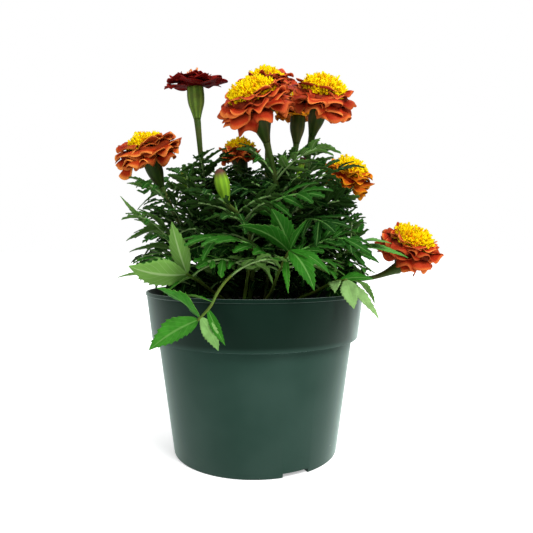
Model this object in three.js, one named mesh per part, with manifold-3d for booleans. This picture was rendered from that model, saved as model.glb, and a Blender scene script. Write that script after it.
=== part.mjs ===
// A French marigold in a plastic nursery pot: the pot, its soil, leafy shoots that stand in holes
// in the soil, and on each flowering shoot a ring of ruffled petals with a crest of small florets.
// Millimetres, +Z up. The origin is the centre of the pot's flat underside, and -Y is the front.

import * as THREE from "three";
import { mergeVertices } from "three/addons/utils/BufferGeometryUtils.js";
import Module from "manifold-3d";

const wasm = await Module();
wasm.setup();

// Driving dimensions

const GAP = 0.3; // clearance between two pieces that touch
const POT = {
  rimRadius: 80,
  height: 117.5,
  bandRadius: 75.7, // outside of the rim band at its lower edge
  bandBottom: 84,
  bodyTopRadius: 71.5,
  baseRadius: 60.5,
  wall: 1.8,
  floor: 2.4,
  sides: 30,
  turn: 4.7, // degrees that the facets are turned, so that none of their edges lies on an axis
};
const DRAIN = { count: 3, width: 19, height: 2.9, depth: 10, past: 1, firstAngle: -64 };
const SOIL = {
  top: 105, // where it meets the pot
  mound: 4, // how much higher it is in the middle
  moundRadius: 70,
  sideGap: 0.8, // to the wall, whose facets differ from the soil's
  rings: [0.75, 0.5, 0.25],
  sides: 24,
  relief: 0.7,
  waves: { across: 0.9, bend: 2, bends: 0.7, ahead: 0.8 }, // of the uneven top: radians, and radians per mm
  flatMiddle: 1,
  rootDepth: 22,
  holeSides: 5,
};
const STEM = {
  radius: 1.5,
  tip: 0.9, // radius at the end of a leafy shoot
  budNeck: 1.5, // radius under a bud
  sides: 5,
  step: 32,
  fewestSteps: 5,
  collar: 2, // height over the soil where it begins to bend
  upright: 15, // pull of the straight foot on the first bend
};
const CUP = { length: 23, belly: 6.4, mouth: 6, neck: 2.1 }; // the green cup under a bloom
const LEAF = {
  thickness: 0.7,
  pairs: 3,
  morePairsFrom: 66, // length from which a leaf has one pair more
  petiole: 0.16, // share of the length before the first pair
  paired: 0.72, // share of the rest that carries the pairs
  ribHalf: 0.7,
  sunk: 0.4, // how far from the stem's centre a leaf begins
  endHalf: 0.045, // half width of the end leaflet, as a share of the length
  leaflet: 0.4, // longest leaflet, as a share of the length
  longestAt: 0.4, // share of the pairs below the longest
  shrink: 0.14, // how much shorter each pair away from the longest is
  tipBack: 0.4, // where a leaflet starts, in steps below its upper edge
  spread: 50,
  fold: 0.14,
};
const BLADE = {
  thickness: 0.7,
  rootHalf: 0.5,
  stations: 6,
  narrowStations: 4,
  narrow: 9,
  tooth: 0.14,
  widest: 0.85, // under 1 its widest place is nearer the base
  blunt: 0.8,
};
const PETAL = {
  thickness: 0.75,
  cup: 4.2, // height of the ring's own small cup
  cupSides: 6,
  root: 4,
  notch: 0.4, // how far out the cut between two petals ends, as a share of the reach
  belly: 0.55,
  bellyLift: 0.9,
  tilt: 1,
  shortest: 0.92,
  waves: [0.6, 1.5],
  twist: 0.5, // turn of each layer from the one below, in radians
  seed: 5,
};
// A petal edge's points: share of the half sector, share of the reach
const EDGE = [[-0.92, 0.84], [-0.36, 1], [0.34, 0.96], [0.92, 0.86]];
const INNER_EDGE = [[-0.9, 0.86], [0, 1], [0.9, 0.84]];
// Layers of petals from the outermost in; size is a share of the bloom's radius
const LAYERS = [
  { count: 6, size: 1, rise: 0.02, droop: 0.34, height: 1, edge: EDGE },
  { count: 5, size: 0.88, rise: 0.28, droop: 0.32, height: 2.3, edge: EDGE },
  { count: 4, size: 0.72, rise: 0.54, droop: 0.32, height: 3.4, edge: INNER_EDGE },
];
const FLAT_LAYERS = [{ count: 8, size: 1, rise: 0.16, droop: 0.12, height: 2.2, edge: INNER_EDGE }];
const SMALL_BLOOM = 18; // a bloom under this radius has one layer less
// The crest's radius, height and lift off its floor are shares of the bloom's radius
const CREST = {
  radius: 0.56,
  tall: 0.32,
  lift: 0.2,
  foot: 3,
  middle: 3, // depth of the centre that its points stand out from
  point: 2.2,
  apex: 1.2,
  fine: [14, 4],
  coarse: [10, 3],
  coarseBelow: 21,
};
const FLAT_CREST = { radius: 4.5, tall: 4, lift: 1 };

const DEG = Math.PI / 180;
const UP = new THREE.Vector3(0, 0, 1);
const vec = (a) => new THREE.Vector3(...a);
const mix = (a, b, t) => a + (b - a) * t;

// Repeatable random numbers from 0 to 1

function dice(seed) {
  let state = seed >>> 0;
  return () => {
    state = (state + 0x6d2b79f5) >>> 0;
    let t = state;
    t = Math.imul(t ^ (t >>> 15), t | 1);
    t ^= t + Math.imul(t ^ (t >>> 7), t | 61);
    return ((t ^ (t >>> 14)) >>> 0) / 4294967296;
  };
}

// Solids: from three.js geometry to manifold-3d and back

function solid(geometry) {
  const plain = new THREE.BufferGeometry();
  plain.setAttribute("position", geometry.getAttribute("position"));
  if (geometry.index) plain.setIndex(geometry.index);
  const merged = mergeVertices(plain, 1e-4);
  return new wasm.Manifold(
    new wasm.Mesh({
      numProp: 3,
      vertProperties: new Float32Array(merged.getAttribute("position").array),
      triVerts: new Uint32Array(merged.index.array),
    }),
  );
}

function geometryOf(shape) {
  const mesh = shape.getMesh();
  const geometry = new THREE.BufferGeometry();
  geometry.setAttribute("position", new THREE.BufferAttribute(mesh.vertProperties, 3));
  geometry.setIndex(new THREE.BufferAttribute(mesh.triVerts, 1));
  geometry.computeVertexNormals();
  return geometry;
}

// One closed body out of solids that cross; a scrap that nothing holds is dropped.
function fuse(shapes) {
  const bodies = wasm.Manifold.union(shapes).decompose();
  return bodies.reduce((a, b) => (b.volume() > a.volume() ? b : a));
}

function indexed(points, faces) {
  const geometry = new THREE.BufferGeometry();
  const numbers = points.flatMap((p) => [p.x, p.y, p.z]);
  geometry.setAttribute("position", new THREE.Float32BufferAttribute(numbers, 3));
  geometry.setIndex(faces.flat());
  return geometry;
}

// A thin sheet: the same triangles on both faces, and a wall along each free edge.
function sheet({ points, normals, faces }, thickness) {
  const n = points.length;
  const half = thickness / 2;
  const top = points.map((p, i) => p.clone().addScaledVector(normals[i], half));
  const under = points.map((p, i) => p.clone().addScaledVector(normals[i], -half));
  const edges = new Map();
  for (const [a, b, c] of faces)
    for (const [p, q] of [[a, b], [b, c], [c, a]]) edges.set(p + "," + q, [p, q]);
  const walls = [];
  for (const [p, q] of edges.values())
    if (!edges.has(q + "," + p)) walls.push([q, p, p + n], [q, p + n, q + n]);
  const below = faces.map(([a, b, c]) => [a + n, c + n, b + n]);
  return indexed([...top, ...under], [...faces, ...below, ...walls]);
}

function normalsOf(points, faces) {
  const geometry = indexed(points, faces);
  geometry.computeVertexNormals();
  const normal = geometry.getAttribute("normal");
  return points.map((_, i) => new THREE.Vector3().fromBufferAttribute(normal, i));
}

// A round bar of changing radius through a list of {at, radius}
function sweep(rings, sides) {
  const points = [];
  let side = null;
  rings.forEach(({ at, radius }, i) => {
    const ahead = rings[Math.min(i + 1, rings.length - 1)].at;
    const along = ahead.clone().sub(rings[Math.max(i - 1, 0)].at).normalize();
    if (!side) side = new THREE.Vector3(1, 0, 0);
    side.addScaledVector(along, -side.dot(along)).normalize();
    const other = along.clone().cross(side);
    for (let k = 0; k < sides; k++) {
      const a = (k / sides) * 2 * Math.PI;
      const across = side.clone().multiplyScalar(Math.cos(a)).addScaledVector(other, Math.sin(a));
      points.push(at.clone().addScaledVector(across, radius));
    }
  });
  const faces = [];
  for (let i = 0; i < rings.length - 1; i++)
    for (let k = 0; k < sides; k++) {
      const a = i * sides + k;
      const b = i * sides + ((k + 1) % sides);
      faces.push([a, b, b + sides], [a, b + sides, a + sides]);
    }
  const first = points.length;
  points.push(rings[0].at, rings[rings.length - 1].at);
  const last = (rings.length - 1) * sides;
  for (let k = 0; k < sides; k++) {
    const next = (k + 1) % sides;
    faces.push([first, next, k], [first + 1, last + k, last + next]);
  }
  return indexed(points, faces);
}

// Arched blades: a rib that leaves its base at an azimuth and a rise, and bends down evenly along its length

class Arch {
  constructor({ base, azimuth, rise, length, bend, roll = 0 }) {
    Object.assign(this, { base, azimuth, rise, length, bend: bend || 1e-3, roll });
  }

  // The arch from base to tip, for a blade whose two ends are known.
  static between(base, tip, bend, roll) {
    const chord = vec(tip).sub(vec(base));
    const half = (bend * DEG) / 2 || 1e-3;
    return new Arch({
      base: vec(base),
      azimuth: Math.atan2(chord.y, chord.x),
      rise: Math.atan2(chord.z, Math.hypot(chord.x, chord.y)) + half,
      length: (chord.length() * half) / Math.sin(half),
      bend: 2 * half,
      roll: roll * DEG,
    });
  }

  // The place s along the rib, w to its left and h above it, and the blade's normal there.
  at(s, w = 0, h = 0) {
    const k = this.bend / this.length;
    const angle = this.rise - k * s;
    const out = (Math.sin(this.rise) - Math.sin(angle)) / k;
    const up = (Math.cos(angle) - Math.cos(this.rise)) / k;
    const ahead = new THREE.Vector3(Math.cos(this.azimuth), Math.sin(this.azimuth), 0);
    const left = new THREE.Vector3(-Math.sin(this.azimuth), Math.cos(this.azimuth), 0);
    const normal = ahead.clone().multiplyScalar(-Math.sin(angle)).addScaledVector(UP, Math.cos(angle));
    const side = left.clone().multiplyScalar(Math.cos(this.roll));
    side.addScaledVector(normal, Math.sin(this.roll));
    normal.multiplyScalar(Math.cos(this.roll)).addScaledVector(left, -Math.sin(this.roll));
    const place = this.base.clone().addScaledVector(ahead, out).addScaledVector(UP, up);
    return { place: place.addScaledVector(side, w).addScaledVector(normal, h), normal };
  }
}

// Turns flat outline points [s, w] and triangles into a sheet's mesh on an arch, its two halves folded down.
function onArch(arch, flat, faces, fold) {
  const laid = flat.map(([s, w]) => arch.at(s, w, -fold * Math.abs(w)));
  return { points: laid.map((p) => p.place), normals: laid.map((p) => p.normal), faces };
}

// A feathered leaf: pairs of pointed leaflets cut down to the rib, and one at the end.
function featherLeaf(arch) {
  const { ribHalf, spread } = LEAF;
  const pairs = LEAF.pairs + (arch.length > LEAF.morePairsFrom ? 1 : 0);
  const start = arch.length * LEAF.petiole;
  const pitch = (arch.length * (1 - LEAF.petiole) * LEAF.paired) / pairs;
  const flat = [[0, ribHalf], [0, -ribHalf], [start, ribHalf], [start, -ribHalf]];
  const faces = [[0, 1, 3], [0, 3, 2]];
  for (let i = 0; i < pairs; i++) {
    const s = start + pitch * (i + 1);
    const half = i < pairs - 1 ? ribHalf : arch.length * LEAF.endHalf;
    const reach = arch.length * LEAF.leaflet * (1 - LEAF.shrink * Math.abs(i - pairs * LEAF.longestAt));
    const ahead = s - pitch * LEAF.tipBack + reach * Math.cos(spread * DEG);
    const out = reach * Math.sin(spread * DEG);
    const n = flat.length;
    const [left, right] = i ? [n - 2, n - 1] : [2, 3];
    flat.push([ahead, out], [ahead, -out], [s, half], [s, -half]);
    faces.push([left, right, n + 3], [left, n + 3, n + 2], [left, n + 2, n], [right, n + 1, n + 3]);
  }
  const n = flat.length;
  flat.push([arch.length, 0]);
  faces.push([n - 2, n - 1, n]);
  return onArch(arch, flat, faces, LEAF.fold);
}

// A broad single leaflet with a toothed edge.
function broadLeaf(arch, width) {
  const { tooth, rootHalf } = BLADE;
  const stations = width > BLADE.narrow ? BLADE.stations : BLADE.narrowStations;
  const flat = [[0, rootHalf], [0, -rootHalf]];
  const faces = [];
  for (let i = 1; i < stations; i++) {
    const t = i / stations;
    const half = (width / 2) * Math.pow(Math.sin(Math.PI * Math.pow(t, BLADE.widest)), BLADE.blunt);
    const edge = half * (1 + (i % 2 ? tooth : -tooth));
    const a = flat.length;
    flat.push([t * arch.length, edge], [t * arch.length, -edge]);
    faces.push([a - 2, a - 1, a + 1], [a - 2, a + 1, a]);
  }
  const a = flat.length;
  flat.push([arch.length, 0]);
  faces.push([a - 2, a - 1, a]);
  return onArch(arch, flat, faces, 0);
}

// Room: which cells of space each shoot has taken, so that no leaf enters another shoot, a bloom or the pot

const ROOM = {
  cell: 3,
  margin: 1.2,
  sample: 2,
  atBase: 9, // how far from its base a leaf may touch its own shoot
  potClear: 1.6,
  rimZone: 8,
  headClear: 2.5,
  headMiddle: 4, // a bloom's room is centred this far above its cup
  headHalf: 18,
  beads: 60,
  around: 8,
};
const taken = new Map();
const cellOf = (x, y, z) => [x, y, z].map((v) => Math.floor(v / ROOM.cell)).join();

function claim(points, owner) {
  const m = ROOM.margin;
  for (const p of points)
    for (const dx of [-m, m])
      for (const dy of [-m, m])
        for (const dz of [-m, m]) {
          const key = cellOf(p.x + dx, p.y + dy, p.z + dz);
          const before = taken.get(key);
          taken.set(key, before === undefined || before === owner ? owner : -1);
        }
}

// Points spread over a mesh's triangles, about ROOM.sample apart.
function samples({ points, faces }) {
  const found = [];
  for (const [a, b, c] of faces) {
    const [p, q, r] = [points[a], points[b], points[c]];
    const longest = Math.max(p.distanceTo(q), q.distanceTo(r), r.distanceTo(p));
    const n = Math.max(1, Math.ceil(longest / ROOM.sample));
    for (let i = 0; i <= n; i++)
      for (let j = 0; j <= n - i; j++) {
        const at = p.clone().multiplyScalar(1 - (i + j) / n);
        found.push(at.addScaledVector(q, i / n).addScaledVector(r, j / n));
      }
  }
  return found;
}

function outerRadius(z) {
  if (z < POT.bandBottom) return mix(POT.baseRadius, POT.bodyTopRadius, z / POT.bandBottom);
  return mix(POT.bandRadius, POT.rimRadius, (z - POT.bandBottom) / (POT.height - POT.bandBottom));
}

function inPot(p) {
  const r = Math.hypot(p.x, p.y);
  if (p.z > POT.height + ROOM.potClear) return false;
  if (r > outerRadius(p.z) + ROOM.potClear) return false;
  return r > POT.rimRadius - ROOM.rimZone || p.z < SOIL.top + SOIL.mound + ROOM.potClear;
}

const heads = [];
function inHead(p) {
  return heads.some(({ top, lean, radius }) => {
    const d = p.clone().sub(top);
    const h = d.dot(lean);
    const out = Math.sqrt(Math.max(0, d.lengthSq() - h * h)) / (radius + ROOM.headClear);
    const high = (h - ROOM.headMiddle) / ROOM.headHalf;
    return out ** 4 + high ** 4 < 1;
  });
}

const isFree = (points, owner, base) =>
  points.every((p) => {
    const holder = taken.get(cellOf(p.x, p.y, p.z));
    const clear = holder === undefined || (holder === owner && p.distanceTo(base) < ROOM.atBase);
    return clear && !inPot(p) && !inHead(p);
  });

// Shoots: where each stem stands, the points it passes, what it carries, and its own broad leaflets
// A broad leaflet is [base, tip, width, bend, roll]; feathered leaves come by rule.

const bloom = (top, lean, radius, more = {}) => ({ kind: "bloom", top, lean, radius, ...more });
const SHOOTS = [
  { name: "front", root: [7, -16], way: [[12, -21, 150], [15, -22, 190]],
    head: bloom([1, -36, 241.5], [-0.3, -0.44, 0.85], 25), leaves: { nodes: 4, turn: 20 } },
  { name: "back", root: [5, 15], way: [[8, 20, 160], [9, 23, 215]],
    head: bloom([9, 21, 272], [-0.05, -0.36, 0.93], 24),
    leaves: { nodes: 3, turn: 60, from: 0.7, to: 0.3 } },
  { name: "right", root: [18, -4], way: [[28, -3, 150], [35, -1, 190]],
    head: bloom([47.5, -5, 253.5], [0.2, -0.45, 0.87], 26), leaves: { nodes: 4, turn: 35, from: 0.62 } },
  { name: "middle", root: [17, 17], way: [[26, 32, 160], [31, 45, 205]],
    head: bloom([36, 50, 260], [0.06, -0.08, 0.99], 22),
    leaves: { nodes: 3, turn: 10, from: 0.68, to: 0.25 } },
  { name: "dark", root: [-14, 4], way: [[-27, 5, 150], [-38, 3, 195]],
    head: bloom([-44.5, 0, 268], [-0.04, -0.2, 0.98], 22.5, { dark: true }),
    leaves: { nodes: 4, turn: 50, from: 0.64 } },
  { name: "left", root: [-19, -9], way: [[-38, -10, 140], [-58, -8, 172]],
    head: bloom([-77, -6, 214.5], [-0.28, -0.36, 0.89], 25), leaves: { nodes: 4, turn: 15 },
    broad: [
      [[-69.8, -0.8, 190.2], [-92.5, -12, 195], 6.5, 25, 25],
      [[-69.8, -0.8, 189.5], [-84, -16, 175.5], 6, 30, 20],
    ] },
  { name: "far_back", root: [-6, 22], way: [[-10, 34, 150], [-13, 45, 190]],
    head: bloom([-13, 51, 225], [-0.02, -0.2, 0.98], 17), leaves: { nodes: 4, turn: 40, from: 0.85 } },
  { name: "right_back", root: [24, 9], way: [[45, 18, 145], [67, 29, 170]],
    head: bloom([74, 35, 204], [0.3, -0.42, 0.86], 21.5), leaves: { nodes: 4, turn: 25, from: 0.8 } },
  { name: "far_right", root: [31, -2], way: [[50, -2, 121], [72, -1, 124], [92, 2, 127]],
    head: bloom([113.5, -1, 146], [0.3, -0.46, 0.84], 24, { cup: 15 }),
    leaves: { nodes: 2, turn: 63, from: 0.6, to: 0.3 } },
  { name: "bud", root: [-4, -20], way: [[-2, -30, 135], [-5, -40, 162]],
    head: { kind: "bud", top: [-23, -55, 198.5], lean: [-0.2, -0.22, 0.95], radius: 4.8, cup: 22 },
    leaves: { nodes: 3, turn: 45 } },
  { name: "small_bud", root: [-22, 8], way: [[-38, 4, 145], [-48, -6, 178]],
    head: { kind: "bud", top: [-51.5, -11, 205], lean: [-0.16, -0.05, 0.98], radius: 3.6, cup: 15 },
    leaves: { nodes: 3, turn: 75, from: 0.8 } },
  { name: "spent", root: [12, -8], way: [[20, -12, 150], [26, -18, 180]],
    head: { kind: "spent", top: [34, -20, 212], lean: [0.27, 0, 0.96], radius: 2.4, cup: 15 },
    leaves: { nodes: 3, turn: 5, from: 0.75 } },
  { name: "back_left", root: [-19, 22], way: [[-29, 31, 124], [-38, 38, 142]],
    head: { kind: "tip", top: [-45, 44, 160] }, leaves: { nodes: 3, turn: 0, from: 0.95, to: 0.3 } },
  { name: "back_right", root: [12, 30], way: [[20, 40, 124], [30, 47, 140]],
    head: { kind: "tip", top: [37, 52, 156] }, leaves: { nodes: 3, turn: 0, from: 0.95, to: 0.3 } },
  { name: "hanging_left", root: [-8, -30],
    way: [[-5, -38, 130], [-3, -48, 141], [-9, -60, 136], [-17, -72, 129], [-22, -82, 122], [-26, -88, 114]],
    head: { kind: "tip", top: [-33, -89, 106.5] },
    broad: [
      [[-32, -88.6, 108], [-57, -86, 125], 15, 30, 30],
      [[-32.5, -88.8, 107], [-62, -84, 88.5], 14, 20, 60],
      [[-31, -89, 108], [-21, -90, 89], 8, 15, 70],
      [[-27, -88, 112.5], [-17, -90, 92], 5, -10, 70],
      [[-24, -86.5, 116.5], [-46, -80, 120.5], 7, 20, 10],
    ] },
  { name: "low_left", root: [-20, -24], way: [[-30, -38, 120], [-38, -52, 128]],
    head: { kind: "tip", top: [-43.5, -60, 132] },
    leaves: { nodes: 1, turn: 20, from: 0.35 },
    broad: [
      [[-43, -59.5, 131.7], [-75, -78, 137.5], 17.5, -30, 62],
      [[-43, -59.5, 132], [-50.5, -71, 164], 11.5, -12, 25],
      [[-40, -55, 129.5], [-54, -72, 120.8], 8, 25, 20],
      [[-36, -48, 127], [-87, -58, 129.5], 11, 35, 20],
      [[-33, -43, 124], [-74, -34, 148], 9, 30, 15],
    ] },
  { name: "side_left", root: [-28, -4], way: [[-42, -12, 125], [-56, -20, 145]],
    head: { kind: "tip", top: [-63, -21, 163] },
    leaves: { nodes: 2, turn: 100, from: 0.6, to: 0.25 },
    broad: [
      [[-62.5, -21, 162], [-87, -36, 153], 11, 30, 25],
      [[-56.5, -20.2, 147], [-84.5, -38, 145.5], 9, 40, 20],
      [[-60, -20.6, 155], [-91, -35, 183.5], 5, -25, 40],
      [[-61, -20.8, 158], [-80, -31, 175], 7.5, 35, 10],
    ] },
  { name: "rosette", root: [6, -30], way: [[11, -43, 120], [16, -56, 135]],
    head: { kind: "tip", top: [21.5, -66, 147] },
    leaves: { nodes: 2, turn: 80, from: 0.7, to: 0.3 },
    broad: [
      [[21, -65.5, 146.3], [-9.5, -85, 161], 14, 40, 20],
      [[21, -65.5, 146.5], [9.5, -77, 171.5], 13, 30, 45],
      [[21.5, -66, 146.5], [34, -90, 123.5], 11, 40, 25],
      [[21.5, -65.5, 147], [44, -82, 132.5], 7.5, 40, 20],
      [[19, -61.5, 141.5], [19, -89, 122], 4.5, 30, 40],
      [[21.5, -66, 147], [31, -78, 165], 5, 25, 0],
    ] },
  { name: "low_right", root: [28, -18], way: [[42, -34, 119], [52, -47, 126]],
    head: { kind: "tip", top: [58, -60, 128] },
    leaves: { nodes: 1, turn: 160, from: 0.4 },
    broad: [
      [[57.5, -59.5, 127.8], [60, -74, 111], 10, 20, 20],
      [[55, -54, 127.5], [76, -56, 128], 9, 30, 30],
      [[54, -52, 127], [77, -66, 104], 9, 35, 20],
      [[57, -58, 127.6], [80, -42, 111], 9, 70, 10],
      [[52.5, -48, 126.3], [48, -76, 121], 7, 30, 10],
    ] },
  { name: "side_right", root: [34, -9], way: [[48, -14, 125], [62, -16, 142]],
    head: { kind: "tip", top: [72, -17, 153] },
    leaves: { nodes: 2, turn: 20, from: 0.65, to: 0.3 },
    broad: [
      [[71.5, -17, 152.5], [94, -31, 151.5], 8, 25, 10],
      [[69, -16.6, 149.5], [105, -34, 141.5], 7, 30, 25],
      [[71.5, -17, 152.5], [81, 2, 171], 8, 30, 0],
      [[66, -16.4, 146], [84, -38, 138], 8, 30, 15],
    ] },
];

// A smooth line through points, uniform Catmull-Rom, whose ends are mirrored; the first leaves straight up.
function smooth(points) {
  const list = [points[0].clone().addScaledVector(UP, -STEM.upright), ...points];
  const [end, before] = [list[list.length - 1], list[list.length - 2]];
  list.push(end.clone().multiplyScalar(2).sub(before));
  const spans = points.length - 1;
  return (t) => {
    const i = Math.min(Math.floor(t * spans), spans - 1);
    const u = t * spans - i;
    const [p0, p1, p2, p3] = list.slice(i, i + 4);
    const c0 = -0.5 * u + u * u - 0.5 * u * u * u;
    const c1 = 1 - 2.5 * u * u + 1.5 * u * u * u;
    const c2 = 0.5 * u + 2 * u * u - 1.5 * u * u * u;
    const c3 = -0.5 * u * u + 0.5 * u * u * u;
    const at = p0.clone().multiplyScalar(c0);
    return at.addScaledVector(p1, c1).addScaledVector(p2, c2).addScaledVector(p3, c3);
  };
}

const soilHeight = (x, y) => SOIL.top + SOIL.mound * Math.max(0, 1 - Math.hypot(x, y) / SOIL.moundRadius);

// The cup under a bloom, a closed bud or a spent head: shares of its length from the top, and of its width.
const CUP_SHAPES = {
  bloom: [[0.8, 0.5], [0.55, 0.88], [0.3, 1], [0, CUP.mouth / CUP.belly]],
  bud: [[0.85, 0.5], [0.6, 0.9], [0.35, 1], [0.1, 0.62], [0, 0.2]],
  spent: [[0.8, 0.7], [0.4, 0.9], [0, 1]],
  tip: [],
};

// The stem's centre line and rings, from its foot in the soil to its top.
function stemOf(shoot) {
  const { root, way, head } = shoot;
  const ground = soilHeight(...root);
  const foot = new THREE.Vector3(root[0], root[1], ground - SOIL.rootDepth);
  const collar = new THREE.Vector3(root[0], root[1], ground + STEM.collar);
  const top = vec(head.top);
  const lean = head.lean ? vec(head.lean).normalize() : null;
  const cup = head.cup ?? CUP.length;
  const neck = lean ? top.clone().addScaledVector(lean, -cup) : top;
  const line = smooth([collar, ...way.map(vec), neck]);
  const steps = Math.max(STEM.fewestSteps, Math.round(collar.distanceTo(neck) / STEM.step));
  const neckRadius = head.kind === "bloom" ? CUP.neck : STEM.budNeck;
  const rings = [{ at: foot, radius: STEM.radius }];
  for (let i = 0; i <= steps; i++) {
    const t = i / steps;
    const radius = lean ? mix(STEM.radius, neckRadius, t * t) : mix(STEM.radius, STEM.tip, t);
    rings.push({ at: line(t), radius });
  }
  const belly = head.kind === "bloom" ? CUP.belly : head.radius;
  for (const [down, wide] of CUP_SHAPES[head.kind])
    rings.push({ at: top.clone().addScaledVector(lean, -cup * down), radius: belly * wide });
  return { line, rings, lean, top };
}

// Feathered leaves by rule: opposite pairs up the stem, each pair a quarter turn from the last,
// steeper and shorter towards the top, and turned aside by steps until clear of every other shoot.
const GROW = {
  low: { rise: 22, length: 72, bend: 75 },
  high: { rise: 62, length: 52, bend: 48 },
  lowZ: 118,
  highZ: 198,
  levels: 4,
  from: 0.72, // share of the stem where the top pair grows
  to: 0.14,
  quarter: 90,
  jitter: 30,
  sizes: [0.88, 1.12],
  shorter: [1, 0.75],
  lifts: [0, 16, -16],
  turns: [0, 16, -16, 32, -32, 48, -48],
  roll: 80,
  inward: 0.5, // how much shorter a leaf is that points to the pot's axis
  ceiling: 226,
  outermost: 101, // no leaf by rule reaches further from the pot's axis
  rightmost: 82, // nor further to the photo's right
  seed: 20,
};

const isInside = (p) =>
  p.z < GROW.ceiling && p.x < GROW.rightmost && Math.hypot(p.x, p.y) < GROW.outermost;
const flatWay = (angle, length) => new THREE.Vector3(length * Math.cos(angle), length * Math.sin(angle), 0);

function placeLeaf(owner, at, azimuth, roll, size) {
  const { low, high, lowZ, highZ } = GROW;
  const u = Math.min(1, Math.max(0, (at.z - lowZ) / (highZ - lowZ)));
  const facing = Math.cos(azimuth - Math.atan2(at.y, at.x));
  const length = size * mix(low.length, high.length, u) * (facing < 0 ? mix(1, GROW.inward, -facing) : 1);
  for (const shorter of GROW.shorter)
    for (const lift of GROW.lifts)
      for (const turn of GROW.turns) {
        const heading = azimuth + turn * DEG;
        const arch = new Arch({
          base: at.clone().add(flatWay(heading, LEAF.sunk)),
          azimuth: heading,
          rise: (mix(low.rise, high.rise, u) + lift) * DEG,
          length: length * shorter,
          bend: mix(low.bend, high.bend, u) * DEG,
          roll,
        });
        const leaf = featherLeaf(arch);
        const spots = samples(leaf);
        if (spots.every(isInside) && isFree(spots, owner, at)) {
          claim(spots, owner);
          return leaf;
        }
      }
  return null;
}

// The plant

const shoots = SHOOTS.map((shoot, owner) => ({ ...shoot, owner, ...stemOf(shoot), leafMeshes: [] }));
for (const { head, top, lean } of shoots)
  if (head.kind === "bloom") heads.push({ top, lean, radius: head.radius });
for (const shoot of shoots) {
  const beads = [];
  for (let i = 0; i <= ROOM.beads; i++) beads.push(shoot.line(i / ROOM.beads));
  for (const { at, radius } of shoot.rings)
    if (radius > STEM.radius)
      for (let k = 0; k < ROOM.around; k++)
        beads.push(at.clone().add(flatWay((k / ROOM.around) * 2 * Math.PI, radius)));
  claim(beads, shoot.owner);
}
for (const shoot of shoots)
  for (const [base, tip, width, bend, roll] of shoot.broad ?? []) {
    const leaf = broadLeaf(Arch.between(base, tip, bend, roll), width);
    claim(samples(leaf), shoot.owner);
    shoot.leafMeshes.push({ mesh: leaf, thickness: BLADE.thickness });
  }
const throwDice = dice(GROW.seed);
for (let level = 0; level < GROW.levels; level++)
  for (const shoot of shoots) {
    const { nodes, turn, from = GROW.from, to = GROW.to } = shoot.leaves ?? { nodes: 0 };
    if (level >= nodes) continue;
    const at = shoot.line(nodes > 1 ? mix(from, to, level / (nodes - 1)) : from);
    const outward = Math.atan2(at.y, at.x);
    for (const side of [0, Math.PI]) {
      const jitter = (throwDice() - 0.5) * GROW.jitter;
      const roll = (throwDice() - 0.5) * GROW.roll * DEG;
      const size = mix(...GROW.sizes, throwDice());
      const azimuth = outward + (turn + GROW.quarter * level + jitter) * DEG + side;
      const leaf = placeLeaf(shoot.owner, at, azimuth, roll, size);
      if (leaf) shoot.leafMeshes.push({ mesh: leaf, thickness: LEAF.thickness });
    }
  }

// Materials

const finish = (color, roughness) => new THREE.MeshStandardMaterial({ color, roughness, metalness: 0 });
const MATERIALS = {
  pot: finish(0x2f4f42, 0.45),
  soil: finish(0x17120d, 0.95),
  green: finish(0x2f6b24, 0.6),
  flame: finish(0xc8471c, 0.7),
  maroon: finish(0x6e1420, 0.7),
  gold: finish(0xf2c313, 0.7),
};

function node(name, geometry, material) {
  const mesh = new THREE.Mesh(geometry, material);
  mesh.name = name;
  return mesh;
}

// The pot: a turned shell with a wide rim band, and open drain notches where the wall meets the floor.
function makePot() {
  const { rimRadius, height, bandRadius, bandBottom, bodyTopRadius, baseRadius, wall, floor } = POT;
  const outline = [
    [0, 0], [baseRadius, 0], [bodyTopRadius, bandBottom], [bandRadius, bandBottom], [rimRadius, height],
    [rimRadius - wall, height], [bandRadius - wall, bandBottom + wall],
    [bodyTopRadius - wall, bandBottom - wall], [baseRadius - wall, floor], [0, floor],
  ];
  const shell = new THREE.LatheGeometry(outline.map(([r, z]) => new THREE.Vector2(r, z)), POT.sides);
  shell.rotateX(Math.PI / 2);
  shell.rotateZ(POT.turn * DEG);
  let pot = solid(shell);
  for (let i = 0; i < DRAIN.count; i++) {
    const notch = new THREE.BoxGeometry(DRAIN.depth, DRAIN.width, 2 * DRAIN.height);
    notch.translate(baseRadius + DRAIN.past - DRAIN.depth / 2, 0, 0);
    notch.rotateZ((DRAIN.firstAngle + (360 / DRAIN.count) * i) * DEG);
    pot = pot.subtract(solid(notch));
  }
  return node("pot", geometryOf(pot), MATERIALS.pot);
}

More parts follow.
